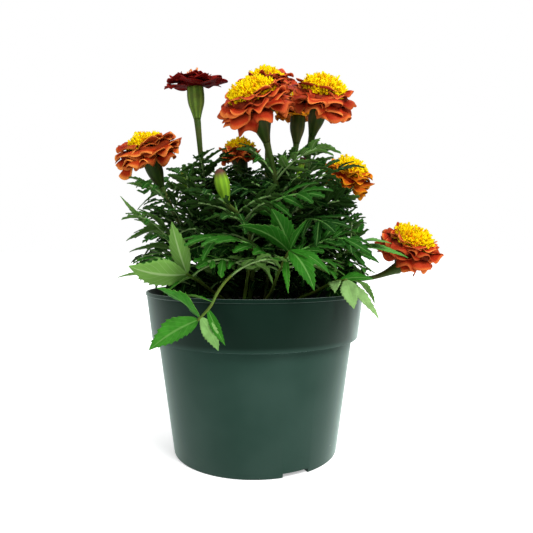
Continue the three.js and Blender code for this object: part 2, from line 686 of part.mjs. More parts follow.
// The soil: fills the pot to below its rim, mounded to the middle, with a plain hole for each stem.
function makeSoil() {
  const { baseRadius, bodyTopRadius, bandBottom, bandRadius, rimRadius, height, wall, floor } = POT;
  const side = wall + SOIL.sideGap;
  const topShare = (SOIL.top - bandBottom) / (height - bandBottom);
  const topRadius = mix(bandRadius, rimRadius, topShare) - side;
  const outline = [
    [0, floor + GAP], [baseRadius - side, floor + GAP],
    [bodyTopRadius - side, bandBottom - wall - GAP], [bandRadius - side, bandBottom + wall + GAP],
    [topRadius, SOIL.top],
    ...SOIL.rings.map((share) => [share * topRadius, soilHeight(share * topRadius, 0)]),
    [0, SOIL.top + SOIL.mound],
  ];
  const body = new THREE.LatheGeometry(outline.map(([r, z]) => new THREE.Vector2(r, z)), SOIL.sides);
  body.rotateX(Math.PI / 2);
  const place = body.getAttribute("position");
  const { across, bend, bends, ahead } = SOIL.waves;
  for (let i = 0; i < place.count; i++) {
    const [x, y, z] = [place.getX(i), place.getY(i), place.getZ(i)];
    const bent = x * across + bend * Math.sin(y * bends);
    if (z > SOIL.top && Math.hypot(x, y) > SOIL.flatMiddle)
      place.setZ(i, z + SOIL.relief * Math.sin(bent) * Math.cos(y * ahead));
  }
  const holeRadius = (STEM.radius + GAP) / Math.cos(Math.PI / SOIL.holeSides);
  const holeLength = 2 * SOIL.rootDepth;
  const holes = SHOOTS.map(({ root }) => {
    const hole = new THREE.CylinderGeometry(holeRadius, holeRadius, holeLength, SOIL.holeSides);
    hole.rotateX(Math.PI / 2);
    hole.translate(...root, soilHeight(...root) - SOIL.rootDepth - GAP + holeLength / 2);
    return solid(hole);
  });
  const soil = solid(body).subtract(wasm.Manifold.union(holes));
  return node("soil", geometryOf(soil), MATERIALS.soil);
}

// One leafy shoot: its stem with the cup, bud or tip at the end, and its leaves, as one green body.
function makeShoot({ name, rings, head, leafMeshes }) {
  const stem = solid(sweep(rings, STEM.sides));
  const leaves = leafMeshes.map(({ mesh, thickness }) => solid(sheet(mesh, thickness)));
  return node("shoot_" + name, geometryOf(fuse([stem, ...leaves])), MATERIALS.green);
}

// A layer of petals: fans cut apart down to a ring, each with a waved edge and one side above its neighbour.
function petalLayer({ count, rise, droop, height, edge }, reach, turn, throwPetal) {
  const half = Math.PI / count;
  const each = 3 + edge.length;
  const points = [];
  const put = (angle, t, lift) => {
    const r = PETAL.root + reach * t;
    const z = height + reach * (rise * t - droop * t * t) + lift;
    points.push(new THREE.Vector3(r * Math.cos(angle), r * Math.sin(angle), z));
  };
  const faces = [];
  for (let i = 0; i < count; i++) {
    const mid = turn + 2 * half * i;
    const long = mix(PETAL.shortest, 1, throwPetal());
    const wave = mix(...PETAL.waves, throwPetal()) * (throwPetal() < 0.5 ? -1 : 1);
    put(mid, 0, 0);
    put(mid - half, PETAL.notch, 0);
    put(mid, PETAL.belly * long, PETAL.bellyLift);
    edge.forEach(([across, t], k) => {
      put(mid + half * across, t * long, (k % 2 ? -wave : wave) + PETAL.tilt * across);
    });
    const [base, notch, belly, first] = [0, 1, 2, 3].map((k) => each * i + k);
    const last = first + edge.length - 1;
    const after = (each * (i + 1)) % (each * count);
    faces.push([base, notch, belly], [base, belly, after + 1], [base, after + 1, after]);
    faces.push([notch, first, belly], [belly, last, after + 1]);
    for (let k = first; k < last; k++) faces.push([belly, k, k + 1]);
  }
  return { points, faces, normals: normalsOf(points, faces) };
}

// The ring of petals: a small cup that sits on the green one, and petals in layers that grow from it.
function makePetals({ name, head, top, lean }, throwPetal) {
  const layers = head.dark ? FLAT_LAYERS : LAYERS.slice(0, head.radius < SMALL_BLOOM ? 2 : 3);
  const outline = [[0, GAP], [CUP.mouth, GAP], [CUP.mouth, PETAL.cup], [0, PETAL.cup]];
  const cup = new THREE.LatheGeometry(outline.map(([r, z]) => new THREE.Vector2(r, z)), PETAL.cupSides);
  cup.rotateX(Math.PI / 2);
  const rings = layers.map((layer, j) => {
    const reach = layer.size * head.radius - PETAL.root;
    return solid(sheet(petalLayer(layer, reach, PETAL.twist * j, throwPetal), PETAL.thickness));
  });
  const material = head.dark ? MATERIALS.maroon : MATERIALS.flame;
  return onBloom("petals_" + name, fuse([solid(cup), ...rings]), material, top, lean);
}

// The crest: a dome raised to points, one for each floret, over a cone that stands in the petals.
function makeCrest({ name, head, top, lean }) {
  const size = head.radius;
  const shares = { radius: CREST.radius * size, tall: CREST.tall * size, lift: CREST.lift * size };
  const { radius, tall, lift } = head.dark ? FLAT_CREST : shares;
  const [around, rows] = head.dark || size < CREST.coarseBelow ? CREST.coarse : CREST.fine;
  const floor = PETAL.cup + GAP;
  const outline = [[CREST.foot, floor]];
  for (let j = 0; j < rows; j++) {
    const a = (j / rows) * 90 * DEG;
    outline.push([radius * Math.cos(a), floor + lift + tall * Math.sin(a)]);
  }
  const middle = new THREE.Vector3(0, 0, floor + lift - CREST.middle);
  const points = outline.flatMap(([r, z], j) =>
    Array.from({ length: around }, (_, k) => {
      const p = flatWay((k / around) * 2 * Math.PI, r).setZ(z);
      const raised = j > 0 && (j + k) % 2 === 0;
      return raised ? p.addScaledVector(p.clone().sub(middle).normalize(), CREST.point) : p;
    }),
  );
  const foot = points.length;
  points.push(new THREE.Vector3(0, 0, floor), new THREE.Vector3(0, 0, floor + lift + tall + CREST.apex));
  const faces = [];
  for (let k = 0; k < around; k++) {
    const next = (k + 1) % around;
    faces.push([foot, next, k], [rows * around + k, rows * around + next, foot + 1]);
    for (let j = 0; j < rows; j++) {
      const [a, b] = [j * around + k, j * around + next];
      const [c, d] = [b + around, a + around];
      if ((k + j) % 2) faces.push([a, b, c], [a, c, d]);
      else faces.push([a, b, d], [b, c, d]);
    }
  }
  return onBloom("crest_" + name, solid(indexed(points, faces)), MATERIALS.gold, top, lean);
}

function onBloom(name, shape, material, top, lean) {
  const mesh = node(name, geometryOf(shape), material);
  mesh.position.copy(top);
  mesh.quaternion.setFromUnitVectors(UP, lean);
  return mesh;
}

const plant = new THREE.Group();
plant.add(...shoots.map(makeShoot));
const throwPetal = dice(PETAL.seed);
for (const shoot of shoots)
  if (shoot.head.kind === "bloom") plant.add(makePetals(shoot, throwPetal), makeCrest(shoot));

const group = new THREE.Group();
group.add(makePot(), makeSoil(), plant);
export default group;
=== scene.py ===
"""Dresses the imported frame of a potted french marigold.

The plant is laid out again from the same facts as in the part's source, in millimetres, so that every
stem, leaf and bloom lies where its CAD solid is. Finer pieces then replace the solids: cut and toothed
leaflets, ruffled petals, single florets, a smoothly turned pot and crumbled soil.
"""

import logging
import math
from dataclasses import dataclass, field
from enum import Enum
from typing import Iterable

import bpy
import numpy as np
from mathutils import Matrix, Vector


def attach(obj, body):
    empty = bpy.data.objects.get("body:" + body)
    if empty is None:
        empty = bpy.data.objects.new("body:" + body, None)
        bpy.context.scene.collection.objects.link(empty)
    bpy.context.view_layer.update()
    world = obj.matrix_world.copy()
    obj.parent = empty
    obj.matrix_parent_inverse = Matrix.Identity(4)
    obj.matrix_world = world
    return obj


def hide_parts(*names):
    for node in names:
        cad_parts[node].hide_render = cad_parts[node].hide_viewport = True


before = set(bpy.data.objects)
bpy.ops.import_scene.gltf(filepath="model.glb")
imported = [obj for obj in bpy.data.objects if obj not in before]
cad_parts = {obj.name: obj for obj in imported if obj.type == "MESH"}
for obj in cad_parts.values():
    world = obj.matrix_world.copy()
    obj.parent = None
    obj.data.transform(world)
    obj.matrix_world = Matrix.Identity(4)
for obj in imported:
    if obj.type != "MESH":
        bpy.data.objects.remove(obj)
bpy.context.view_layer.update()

LOG = logging.getLogger("marigold")
MM = 0.001
DEG = math.pi / 180
Array = np.ndarray
Spot = tuple[float, float, float]
Color = tuple[float, float, float]
Pair = tuple[float, float]
Face = tuple[int, int, int]
Thing = bpy.types.Object
Paint = bpy.types.Material
Node = bpy.types.Node
Socket = bpy.types.NodeSocket


# What the plant is made of, in millimetres, as in the part's source


class HeadKind(Enum):
    """What a shoot carries at its top."""

    BLOOM = "bloom"
    BUD = "bud"
    SPENT = "spent"
    TIP = "tip"


class Palette(Enum):
    """The colours of a bloom's petals."""

    RUST = "rust"
    EDGED = "edged"
    GOLDEN = "golden"
    MAROON = "maroon"


@dataclass(frozen=True)
class Head:
    """The top of a shoot: its kind, place, lean, radius, cup's length, petal colours and crest's share."""

    kind: HeadKind
    top: Spot
    lean: Spot | None = None
    radius: float = 0.0
    cup: float = 23.0
    palette: Palette = Palette.RUST
    crest: float = 0.55


@dataclass(frozen=True)
class Leaves:
    """Pairs of feathered leaves that come by rule: how many, how far turned, and where on the stem."""

    nodes: int
    turn: float
    start: float = 0.72
    end: float = 0.14


@dataclass(frozen=True)
class Broad:
    """One broad leaflet: its ends, width, bend and roll in degrees, how much paler it is, and whether
    the side that faces down is its green upper side."""

    base: Spot
    tip: Spot
    width: float
    bend: float
    roll: float
    pale: float = 0.0
    turned: bool = False


@dataclass(frozen=True)
class Shoot:
    """One leafy shoot: where it stands, the points its stem passes, what it carries, and its leaves."""

    name: str
    root: Pair
    way: tuple[Spot, ...]
    head: Head
    leaves: Leaves | None = None
    broad: tuple[Broad, ...] = ()


def bloom(top: Spot, lean: Spot, radius: float, palette: Palette = Palette.RUST, cup: float = 23.0,
          crest: float = 0.55) -> Head:
    """Returns the head of a shoot in flower."""
    return Head(HeadKind.BLOOM, top, lean, radius, cup, palette, crest)


def tip(*top: float) -> Head:
    """Returns the head of a leafy shoot, which is only its tip."""
    return Head(HeadKind.TIP, top)


SHOOTS = (
    Shoot("front", (7, -16), ((12, -21, 150), (15, -22, 190)),
          bloom((1, -36, 241.5), (-0.3, -0.44, 0.85), 25), Leaves(4, 20)),
    Shoot("back", (5, 15), ((8, 20, 160), (9, 23, 215)),
          bloom((9, 21, 272), (-0.05, -0.36, 0.93), 24, crest=0.4), Leaves(3, 60, 0.7, 0.3)),
    Shoot("right", (18, -4), ((28, -3, 150), (35, -1, 190)),
          bloom((47.5, -5, 253.5), (0.2, -0.45, 0.87), 26), Leaves(4, 35, 0.62)),
    Shoot("middle", (17, 17), ((26, 32, 160), (31, 45, 205)),
          bloom((36, 50, 260), (0.06, -0.08, 0.99), 22, Palette.GOLDEN), Leaves(3, 10, 0.68, 0.25)),
    Shoot("dark", (-14, 4), ((-27, 5, 150), (-38, 3, 195)),
          bloom((-44.5, 0, 268), (-0.04, -0.2, 0.98), 22.5, Palette.MAROON), Leaves(4, 50, 0.64)),
    Shoot("left", (-19, -9), ((-38, -10, 140), (-58, -8, 172)),
          bloom((-77, -6, 214.5), (-0.28, -0.36, 0.89), 25, Palette.EDGED, crest=0.4), Leaves(4, 15), (
              Broad((-69.8, -0.8, 190.2), (-92.5, -12, 195), 6.5, 25, 25),
              Broad((-69.8, -0.8, 189.5), (-84, -16, 175.5), 6, 30, 20))),
    Shoot("far_back", (-6, 22), ((-10, 34, 150), (-13, 45, 190)),
          bloom((-13, 51, 225), (-0.02, -0.2, 0.98), 17, Palette.EDGED), Leaves(4, 40, 0.85)),
    Shoot("right_back", (24, 9), ((45, 18, 145), (67, 29, 170)),
          bloom((74, 35, 204), (0.3, -0.42, 0.86), 21.5, Palette.GOLDEN), Leaves(4, 25, 0.8)),
    Shoot("far_right", (31, -2), ((50, -2, 121), (72, -1, 124), (92, 2, 127)),
          bloom((113.5, -1, 146), (0.3, -0.46, 0.84), 24, cup=15), Leaves(2, 63, 0.6, 0.3)),
    Shoot("bud", (-4, -20), ((-2, -30, 135), (-5, -40, 162)),
          Head(HeadKind.BUD, (-23, -55, 198.5), (-0.2, -0.22, 0.95), 4.8, 22), Leaves(3, 45)),
    Shoot("small_bud", (-22, 8), ((-38, 4, 145), (-48, -6, 178)),
          Head(HeadKind.BUD, (-51.5, -11, 205), (-0.16, -0.05, 0.98), 3.6, 15), Leaves(3, 75, 0.8)),
    Shoot("spent", (12, -8), ((20, -12, 150), (26, -18, 180)),
          Head(HeadKind.SPENT, (34, -20, 212), (0.27, 0, 0.96), 2.4, 15), Leaves(3, 5, 0.75)),
    Shoot("back_left", (-19, 22), ((-29, 31, 124), (-38, 38, 142)), tip(-45, 44, 160),
          Leaves(3, 0, 0.95, 0.3)),
    Shoot("back_right", (12, 30), ((20, 40, 124), (30, 47, 140)), tip(37, 52, 156),
          Leaves(3, 0, 0.95, 0.3)),
    Shoot("hanging_left", (-8, -30),
          ((-5, -38, 130), (-3, -48, 141), (-9, -60, 136), (-17, -72, 129), (-22, -82, 122),
           (-26, -88, 114)),
          tip(-33, -89, 106.5), None, (
              Broad((-32, -88.6, 108), (-57, -86, 125), 15, 30, 30, 0.1, True),
              Broad((-32.5, -88.8, 107), (-62, -84, 88.5), 14, 20, 60, 0.1, True),
              Broad((-31, -89, 108), (-21, -90, 89), 8, 15, 70, 0.2),
              Broad((-27, -88, 112.5), (-17, -90, 92), 5, -10, 70),
              Broad((-24, -86.5, 116.5), (-46, -80, 120.5), 7, 20, 10))),
    Shoot("low_left", (-20, -24), ((-30, -38, 120), (-38, -52, 128)), tip(-43.5, -60, 132),
          Leaves(1, 20, 0.35), (
              Broad((-43, -59.5, 131.7), (-75, -78, 137.5), 17.5, -30, 62, 0.25),
              Broad((-43, -59.5, 132), (-50.5, -71, 164), 11.5, -12, 25, 0.1),
              Broad((-40, -55, 129.5), (-54, -72, 120.8), 8, 25, 20),
              Broad((-36, -48, 127), (-87, -58, 129.5), 11, 35, 20),
              Broad((-33, -43, 124), (-74, -34, 148), 9, 30, 15))),
    Shoot("side_left", (-28, -4), ((-42, -12, 125), (-56, -20, 145)), tip(-63, -21, 163),
          Leaves(2, 100, 0.6, 0.25), (
              Broad((-62.5, -21, 162), (-87, -36, 153), 11, 30, 25),
              Broad((-56.5, -20.2, 147), (-84.5, -38, 145.5), 9, 40, 20),
              Broad((-60, -20.6, 155), (-91, -35, 183.5), 5, -25, 40),
              Broad((-61, -20.8, 158), (-80, -31, 175), 7.5, 35, 10))),
    Shoot("rosette", (6, -30), ((11, -43, 120), (16, -56, 135)), tip(21.5, -66, 147),
          Leaves(2, 80, 0.7, 0.3), (
              Broad((21, -65.5, 146.3), (-9.5, -85, 161), 14, 40, 20, -0.05, True),
              Broad((21, -65.5, 146.5), (9.5, -77, 171.5), 13, 30, 45, -0.05, True),
              Broad((21.5, -66, 146.5), (34, -90, 123.5), 11, 40, 25, -0.12),
              Broad((21.5, -65.5, 147), (44, -82, 132.5), 7.5, 40, 20, -0.12),
              Broad((19, -61.5, 141.5), (19, -89, 122), 4.5, 30, 40),
              Broad((21.5, -66, 147), (31, -78, 165), 5, 25, 0, -0.05, True))),
    Shoot("low_right", (28, -18), ((42, -34, 119), (52, -47, 126)), tip(58, -60, 128),
          Leaves(1, 160, 0.4), (
              Broad((57.5, -59.5, 127.8), (60, -74, 111), 10, 20, 20, 0.36),
              Broad((55, -54, 127.5), (76, -56, 128), 9, 30, 30),
              Broad((54, -52, 127), (77, -66, 104), 9, 35, 20, 0.4),
              Broad((57, -58, 127.6), (80, -42, 111), 9, 70, 10, 0.2),
              Broad((52.5, -48, 126.3), (48, -76, 121), 7, 30, 10, 0.3))),
    Shoot("side_right", (34, -9), ((48, -14, 125), (62, -16, 142)), tip(72, -17, 153),
          Leaves(2, 20, 0.65, 0.3), (
              Broad((71.5, -17, 152.5), (94, -31, 151.5), 8, 25, 10, 0.35),
              Broad((69, -16.6, 149.5), (105, -34, 141.5), 7, 30, 25, 0.4),
              Broad((71.5, -17, 152.5), (81, 2, 171), 8, 30, 0),
              Broad((66, -16.4, 146), (84, -38, 138), 8, 30, 15))),
)


@dataclass(frozen=True)
class PotSizes:
    """The pot's driving sizes."""

    rim_radius: float = 80.0
    height: float = 117.5
    band_radius: float = 75.7
    band_bottom: float = 84.0
    body_top_radius: float = 71.5
    base_radius: float = 60.5
    wall: float = 1.8
    floor: float = 2.4
    notch_width: float = 19.0
    notch_height: float = 2.9
    notch_depth: float = 10.0
    notches: int = 3
    first_notch: float = -64.0


@dataclass(frozen=True)
class SoilSizes:
    """The soil's top: its height at the wall, how far it is mounded, and how wide the mound is."""

    top: float = 105.0
    mound: float = 4.0
    mound_radius: float = 70.0

    def height(self, x: float, y: float) -> float:
        """Returns the height of the soil at a place."""
        return self.top + self.mound * max(0.0, 1 - math.hypot(x, y) / self.mound_radius)


POT = PotSizes()
SOIL = SoilSizes()
UP = np.array([0.0, 0.0, 1.0])
STEM_RADIUS = 1.5
CUP_BELLY = 6.4
CUP_MOUTH = 6.0
CUP_NECK = 2.1
LEAF_THICKNESS = 0.35


# Layout: the part's own rule for where each leaf goes


def mix(a: float, b: float, t: float) -> float:
    """Returns the value a share t of the way from a to b."""
    return a + (b - a) * t


class Dice:
    """Repeatable random numbers, the same as those of the part's source."""

    WORD = 0xFFFFFFFF
    STEP = 0x6D2B79F5

    def __init__(self, seed: int) -> None:
        """Starts the row of numbers that belongs to a seed."""
        self.state = seed

    def throw(self) -> float:
        """Throws once.

        Returns:
            The next number, from 0 to 1.
        """
        self.state = (self.state + self.STEP) & self.WORD
        t = self.state
        t = ((t ^ (t >> 15)) * (t | 1)) & self.WORD
        t ^= (t + (t ^ (t >> 7)) * (t | 61)) & self.WORD
        return (t ^ (t >> 14)) / (self.WORD + 1)

    def between(self, low: float, high: float) -> float:
        """Returns the next number, from low to high."""
        return mix(low, high, self.throw())


@dataclass(frozen=True)
class Arch:
    """A rib that leaves its base at an azimuth and a rise and bends down evenly along its length."""

    base: Array
    azimuth: float
    rise: float
    length: float
    bend: float
    roll: float

    @classmethod
    def of(cls, leaf: Broad) -> "Arch":
        """Works out the rib of a broad leaflet.

        Args:
            leaf: the leaflet.

        Returns:
            The arch between its two ends.
        """
        chord = np.subtract(leaf.tip, leaf.base)
        half = leaf.bend * DEG / 2
        rise = math.atan2(chord[2], math.hypot(chord[0], chord[1])) + half
        length = float(np.linalg.norm(chord)) * half / math.sin(half)
        azimuth = math.atan2(chord[1], chord[0])
        return cls(np.array(leaf.base, float), azimuth, rise, length, 2 * half, leaf.roll * DEG)

    def at(self, s: Array, w: Array, h: Array) -> Array:
        """Gives places on the arch.

        Args:
            s: lengths along the rib.
            w: widths to its left.
            h: heights above its surface.

        Returns:
            One point in space for each.
        """
        k = self.bend / self.length
        angle = self.rise - k * s
        out = (math.sin(self.rise) - np.sin(angle)) / k
        up = (np.cos(angle) - math.cos(self.rise)) / k
        ahead = np.array([math.cos(self.azimuth), math.sin(self.azimuth), 0.0])
        left = np.array([-math.sin(self.azimuth), math.cos(self.azimuth), 0.0])
        normal = -np.sin(angle)[:, None] * ahead + np.cos(angle)[:, None] * UP
        side = left * math.cos(self.roll) + normal * math.sin(self.roll)
        normal = normal * math.cos(self.roll) - left * math.sin(self.roll)
        place = self.base + out[:, None] * ahead + up[:, None] * UP
        return place + w[:, None] * side + h[:, None] * normal


@dataclass(frozen=True)
class FeatherPlan:
    """The outline of a feathered leaf in the part's source, from which the fine leaf takes its form."""

    pairs: int = 3
    more_pairs_from: float = 66.0
    petiole: float = 0.16
    paired: float = 0.72
    rib_half: float = 0.7
    sunk: float = 0.4
    end_half: float = 0.045
    leaflet: float = 0.4
    longest_at: float = 0.4
    shrink: float = 0.14
    tip_back: float = 0.4
    spread: float = 50.0
    fold: float = 0.14

    def outline(self, length: float) -> tuple[Array, list[Face]]:
        """Lays the plain leaf out flat.

        Args:
            length: how long the leaf is.

        Returns:
            Its outline points (s, w) and its triangles.
        """
        pairs = self.pairs + (1 if length > self.more_pairs_from else 0)
        start = length * self.petiole
        pitch = length * (1 - self.petiole) * self.paired / pairs
        half = self.rib_half
        flat = [(0.0, half), (0.0, -half), (start, half), (start, -half)]
        faces = [(0, 1, 3), (0, 3, 2)]
        for i in range(pairs):
            s = start + pitch * (i + 1)
            half = self.rib_half if i < pairs - 1 else length * self.end_half
            reach = length * self.leaflet * (1 - self.shrink * abs(i - pairs * self.longest_at))
            ahead = s - pitch * self.tip_back + reach * math.cos(self.spread * DEG)
            out = reach * math.sin(self.spread * DEG)
            n = len(flat)
            left, right = (n - 2, n - 1) if i else (2, 3)
            flat += [(ahead, out), (ahead, -out), (s, half), (s, -half)]
            faces += [(left, right, n + 3), (left, n + 3, n + 2), (left, n + 2, n), (right, n + 1, n + 3)]
        n = len(flat)
        flat.append((length, 0.0))
        faces.append((n - 2, n - 1, n))
        return np.array(flat), faces


@dataclass(frozen=True)
class BroadPlan:
    """The outline of a broad leaflet in the part's source."""

    root_half: float = 0.5
    stations: int = 6
    narrow_stations: int = 4
    narrow: float = 9.0
    tooth: float = 0.14
    early: float = 0.85
    full: float = 0.8

    def half(self, t: Array, width: float) -> Array:
        """Returns the half width at shares of the length, without the teeth."""
        return width / 2 * np.sin(math.pi * np.clip(t, 0, 1) ** self.early) ** self.full

    def outline(self, length: float, width: float) -> tuple[Array, list[Face]]:
        """Lays the plain leaflet out flat.

        Args:
            length: how long the leaflet is.
            width: how wide it is.

        Returns:
            Its outline points (s, w) and its triangles.
        """
        stations = self.stations if width > self.narrow else self.narrow_stations
        flat = [(0.0, self.root_half), (0.0, -self.root_half)]
        faces = []
        for i in range(1, stations):
            toothed = 1 + (self.tooth if i % 2 else -self.tooth)
            edge = float(self.half(np.array(i / stations), width)) * toothed
            a = len(flat)
            flat += [(i / stations * length, edge), (i / stations * length, -edge)]
            faces += [(a - 2, a - 1, a + 1), (a - 2, a + 1, a)]
        a = len(flat)
        flat.append((length, 0.0))
        faces.append((a - 2, a - 1, a))
        return np.array(flat), faces


FEATHER = FeatherPlan()
BROAD = BroadPlan()


class Line:
    """A smooth line through points, whose first stretch leaves straight up."""

    UPRIGHT = 15.0

    def __init__(self, points: Iterable[Iterable[float]]) -> None:
        """Keeps the points, with one mirrored past each end.

        Args:
            points: the points, from the foot to the top.
        """
        inner = [np.array(p, float) for p in points]
        self.spans = len(inner) - 1
        self.points = np.array([inner[0] - self.UPRIGHT * UP, *inner, 2 * inner[-1] - inner[-2]])

    def at(self, t: Array | float) -> Array:
        """Gives places on the line, by the cubic through the four points nearest to each.

        Args:
            t: shares of the line.

        Returns:
            One place for each.
        """
        t = np.atleast_1d(np.asarray(t, float))
        i = np.minimum(np.floor(t * self.spans).astype(int), self.spans - 1)
        u = (t * self.spans - i)[:, None]
        p0, p1, p2, p3 = (self.points[i + k] for k in range(4))
        c0 = -0.5 * u + u * u - 0.5 * u * u * u
        c1 = 1 - 2.5 * u * u + 1.5 * u * u * u
        c2 = 0.5 * u + 2 * u * u - 1.5 * u * u * u
        c3 = -0.5 * u * u + 0.5 * u * u * u
        return p0 * c0 + p1 * c1 + p2 * c2 + p3 * c3


@dataclass
class Stem:
    """A shoot's stem line with the place and lean of what stands on it."""

    COLLAR = 2.0

    shoot: Shoot
    line: Line = field(init=False)
    top: Array = field(init=False)
    lean: Array | None = field(init=False)
    neck: Array = field(init=False)

    def __post_init__(self) -> None:
        """Works the line out from the shoot's points."""
        head = self.shoot.head
        x, y = self.shoot.root
        collar = (x, y, SOIL.height(x, y) + self.COLLAR)
        self.top = np.array(head.top, float)
        self.lean = None
        self.neck = self.top
        if head.lean:
            self.lean = np.array(head.lean) / np.linalg.norm(head.lean)
            self.neck = self.top - head.cup * self.lean
        self.line = Line([collar, *self.shoot.way, self.neck])


class Room:
    """The cells of space that each shoot has taken, so that no leaf enters another, a bloom or the pot."""

    CELL = 3.0
    MARGIN = 1.2
    SAMPLE = 2.0
    AT_BASE = 9.0
    POT_CLEAR = 1.6
    RIM_ZONE = 8.0
    HEAD_CLEAR = 2.5
    HEAD_MIDDLE = 4.0
    HEAD_HALF = 18.0
    EMPTY = -2
    SHARED = -1
    COUNTS = (120, 120, 130)
    SHIFT = np.array([60, 60, 10])

    def __init__(self, stems: list[Stem]) -> None:
        """Starts with all cells empty and the blooms known.

        Args:
            stems: all stems.
        """
        blooms = [stem for stem in stems if stem.shoot.head.kind is HeadKind.BLOOM]
        self.cells = np.full(self.COUNTS, self.EMPTY, np.int16)
        self.heads = [(stem.top, stem.lean, stem.shoot.head.radius) for stem in blooms]
        self.weights: dict[int, Array] = {}

    def keys(self, points: Array) -> tuple[Array, ...]:
        """Returns the cell numbers of points."""
        return tuple((np.floor(points / self.CELL).astype(int) + self.SHIFT).T)

    def claim(self, points: Array, owner: int) -> None:
        """Marks the cells at and close round points as taken.

        Args:
            points: the points.
            owner: the number of the shoot that takes them.
        """
        for corner in np.ndindex(2, 2, 2):
            keys = self.keys(points + self.MARGIN * (2 * np.array(corner) - 1))
            before = self.cells[keys]
            self.cells[keys] = np.where((before == self.EMPTY) | (before == owner), owner, self.SHARED)

    def samples(self, points: Array, faces: list[Face]) -> Array:
        """Spreads points over triangles, about SAMPLE apart.

        Args:
            points: the triangles' corners.
            faces: the triangles.

        Returns:
            The points.
        """
        found = []
        for a, b, c in faces:
            p, q, r = points[a], points[b], points[c]
            longest = max(np.linalg.norm(p - q), np.linalg.norm(q - r), np.linalg.norm(r - p))
            n = max(1, math.ceil(longest / self.SAMPLE))
            if n not in self.weights:
                pairs = [(i, j) for i in range(n + 1) for j in range(n + 1 - i)]
                self.weights[n] = np.array([(1 - (i + j) / n, i / n, j / n) for i, j in pairs])
            found.append(self.weights[n] @ np.array([p, q, r]))
        return np.concatenate(found)

    def in_pot(self, points: Array) -> bool:
        """Says whether any of some points is in or too close to the pot and its soil.

        Args:
            points: the points.

        Returns:
            True or False.
        """
        r = np.hypot(points[:, 0], points[:, 1])
        z = points[:, 2]
        body = POT.base_radius + (POT.body_top_radius - POT.base_radius) * z / POT.band_bottom
        share = (z - POT.band_bottom) / (POT.height - POT.band_bottom)
        band = POT.band_radius + (POT.rim_radius - POT.band_radius) * share
        outer = np.where(z < POT.band_bottom, body, band)
        filled = (r > POT.rim_radius - self.RIM_ZONE) | (z < SOIL.top + SOIL.mound + self.POT_CLEAR)
        return ((z <= POT.height + self.POT_CLEAR) & (r <= outer + self.POT_CLEAR) & filled).any()

    def in_head(self, points: Array) -> bool:
        """Says whether any of some points is in or too close to a bloom.

        Args:
            points: the points.

        Returns:
            True or False.
        """
        for top, lean, radius in self.heads:
            d = points - top
            h = d @ lean
            out = np.sqrt(np.maximum(0, (d * d).sum(1) - h * h)) / (radius + self.HEAD_CLEAR)
            high = (h - self.HEAD_MIDDLE) / self.HEAD_HALF
            if (out**4 + high**4 < 1).any():
                return True
        return False

    def crowded(self, points: Array, owner: int, base: Array) -> float:
        """Gives how much of a leaf isn't free.

        Args:
            points: the leaf's sample points.
            owner: the number of the shoot it grows on.
            base: where it grows.

        Returns:
            The share of points in cells that are taken, or 1 if any is in the pot or a bloom.
        """
        if self.in_pot(points) or self.in_head(points):
            return 1.0
        holder = self.cells[self.keys(points)]
        near = np.linalg.norm(points - base, axis=1) < self.AT_BASE
        clear = (holder == self.EMPTY) | ((holder == owner) & near)
        return float(1 - clear.mean())


@dataclass(frozen=True)
class Rule:
    """How feathered leaves grow: rise, length and bend low and high on the plant, and what is tried."""

    low: Spot = (22.0, 72.0, 75.0)
    high: Spot = (62.0, 52.0, 48.0)
    low_z: float = 118.0
    high_z: float = 198.0
    inward: float = 0.5
    ceiling: float = 226.0
    outermost: float = 101.0
    rightmost: float = 82.0
    shorter: tuple[float, ...] = (1.0, 0.75)
    lifts: tuple[float, ...] = (0.0, 16.0, -16.0)
    turns: tuple[float, ...] = (0.0, 16.0, -16.0, 32.0, -32.0, 48.0, -48.0)
    crowding: float = 0.0
    lowest: float = 0.0

    def place(self, room: Room, owner: int, at: Array, azimuth: float, roll: float,
              size: float) -> Arch | None:
        """Finds room for one leaf, and claims it.

        Args:
            room: the cells taken so far.
            owner: the number of the shoot.
            at: where on the stem the leaf grows.
            azimuth: which way it should point.
            roll: its roll.
            size: how long it is beside the usual length.

        Returns:
            The leaf's arch, or None where there is no room.
        """
        u = min(1.0, max(0.0, (at[2] - self.low_z) / (self.high_z - self.low_z)))
        rise, length, bend = (mix(a, b, u) for a, b in zip(self.low, self.high))
        facing = math.cos(azimuth - math.atan2(at[1], at[0]))
        length = size * length * (mix(1, self.inward, -facing) if facing < 0 else 1)
        for shorter in self.shorter:
            for lift in self.lifts:
                for turn in self.turns:
                    heading = azimuth + turn * DEG
                    base = at + FEATHER.sunk * np.array([math.cos(heading), math.sin(heading), 0])
                    arch = Arch(base, heading, (rise + lift) * DEG, length * shorter, bend * DEG, roll)
                    flat, faces = FEATHER.outline(arch.length)
                    s, w = flat.T
                    spots = room.samples(arch.at(s, w, -FEATHER.fold * abs(w)), faces)
                    inside = spots[:, 2].max() < self.ceiling and spots[:, 2].min() > self.lowest
                    inside = inside and np.hypot(spots[:, 0], spots[:, 1]).max() < self.outermost
                    inside = inside and spots[:, 0].max() < self.rightmost
                    if inside and room.crowded(spots, owner, at) <= self.crowding:
                        room.claim(spots, owner)
                        return arch
        return None


@dataclass(frozen=True)
class Filling:
    """One round of small leaves: its rule, the shares of each stem and the sides where it tries, how far
    the dice roll, size and slip them, the highest share, and how far to the front it stops."""

    rule: Rule
    shares: tuple[float, ...]
    sides: tuple[float, ...]
    roll: float
    largest: float
    smallest: float = 0.8
    slip: float = 0.0
    highest: float = 0.97
    front: float = -math.inf


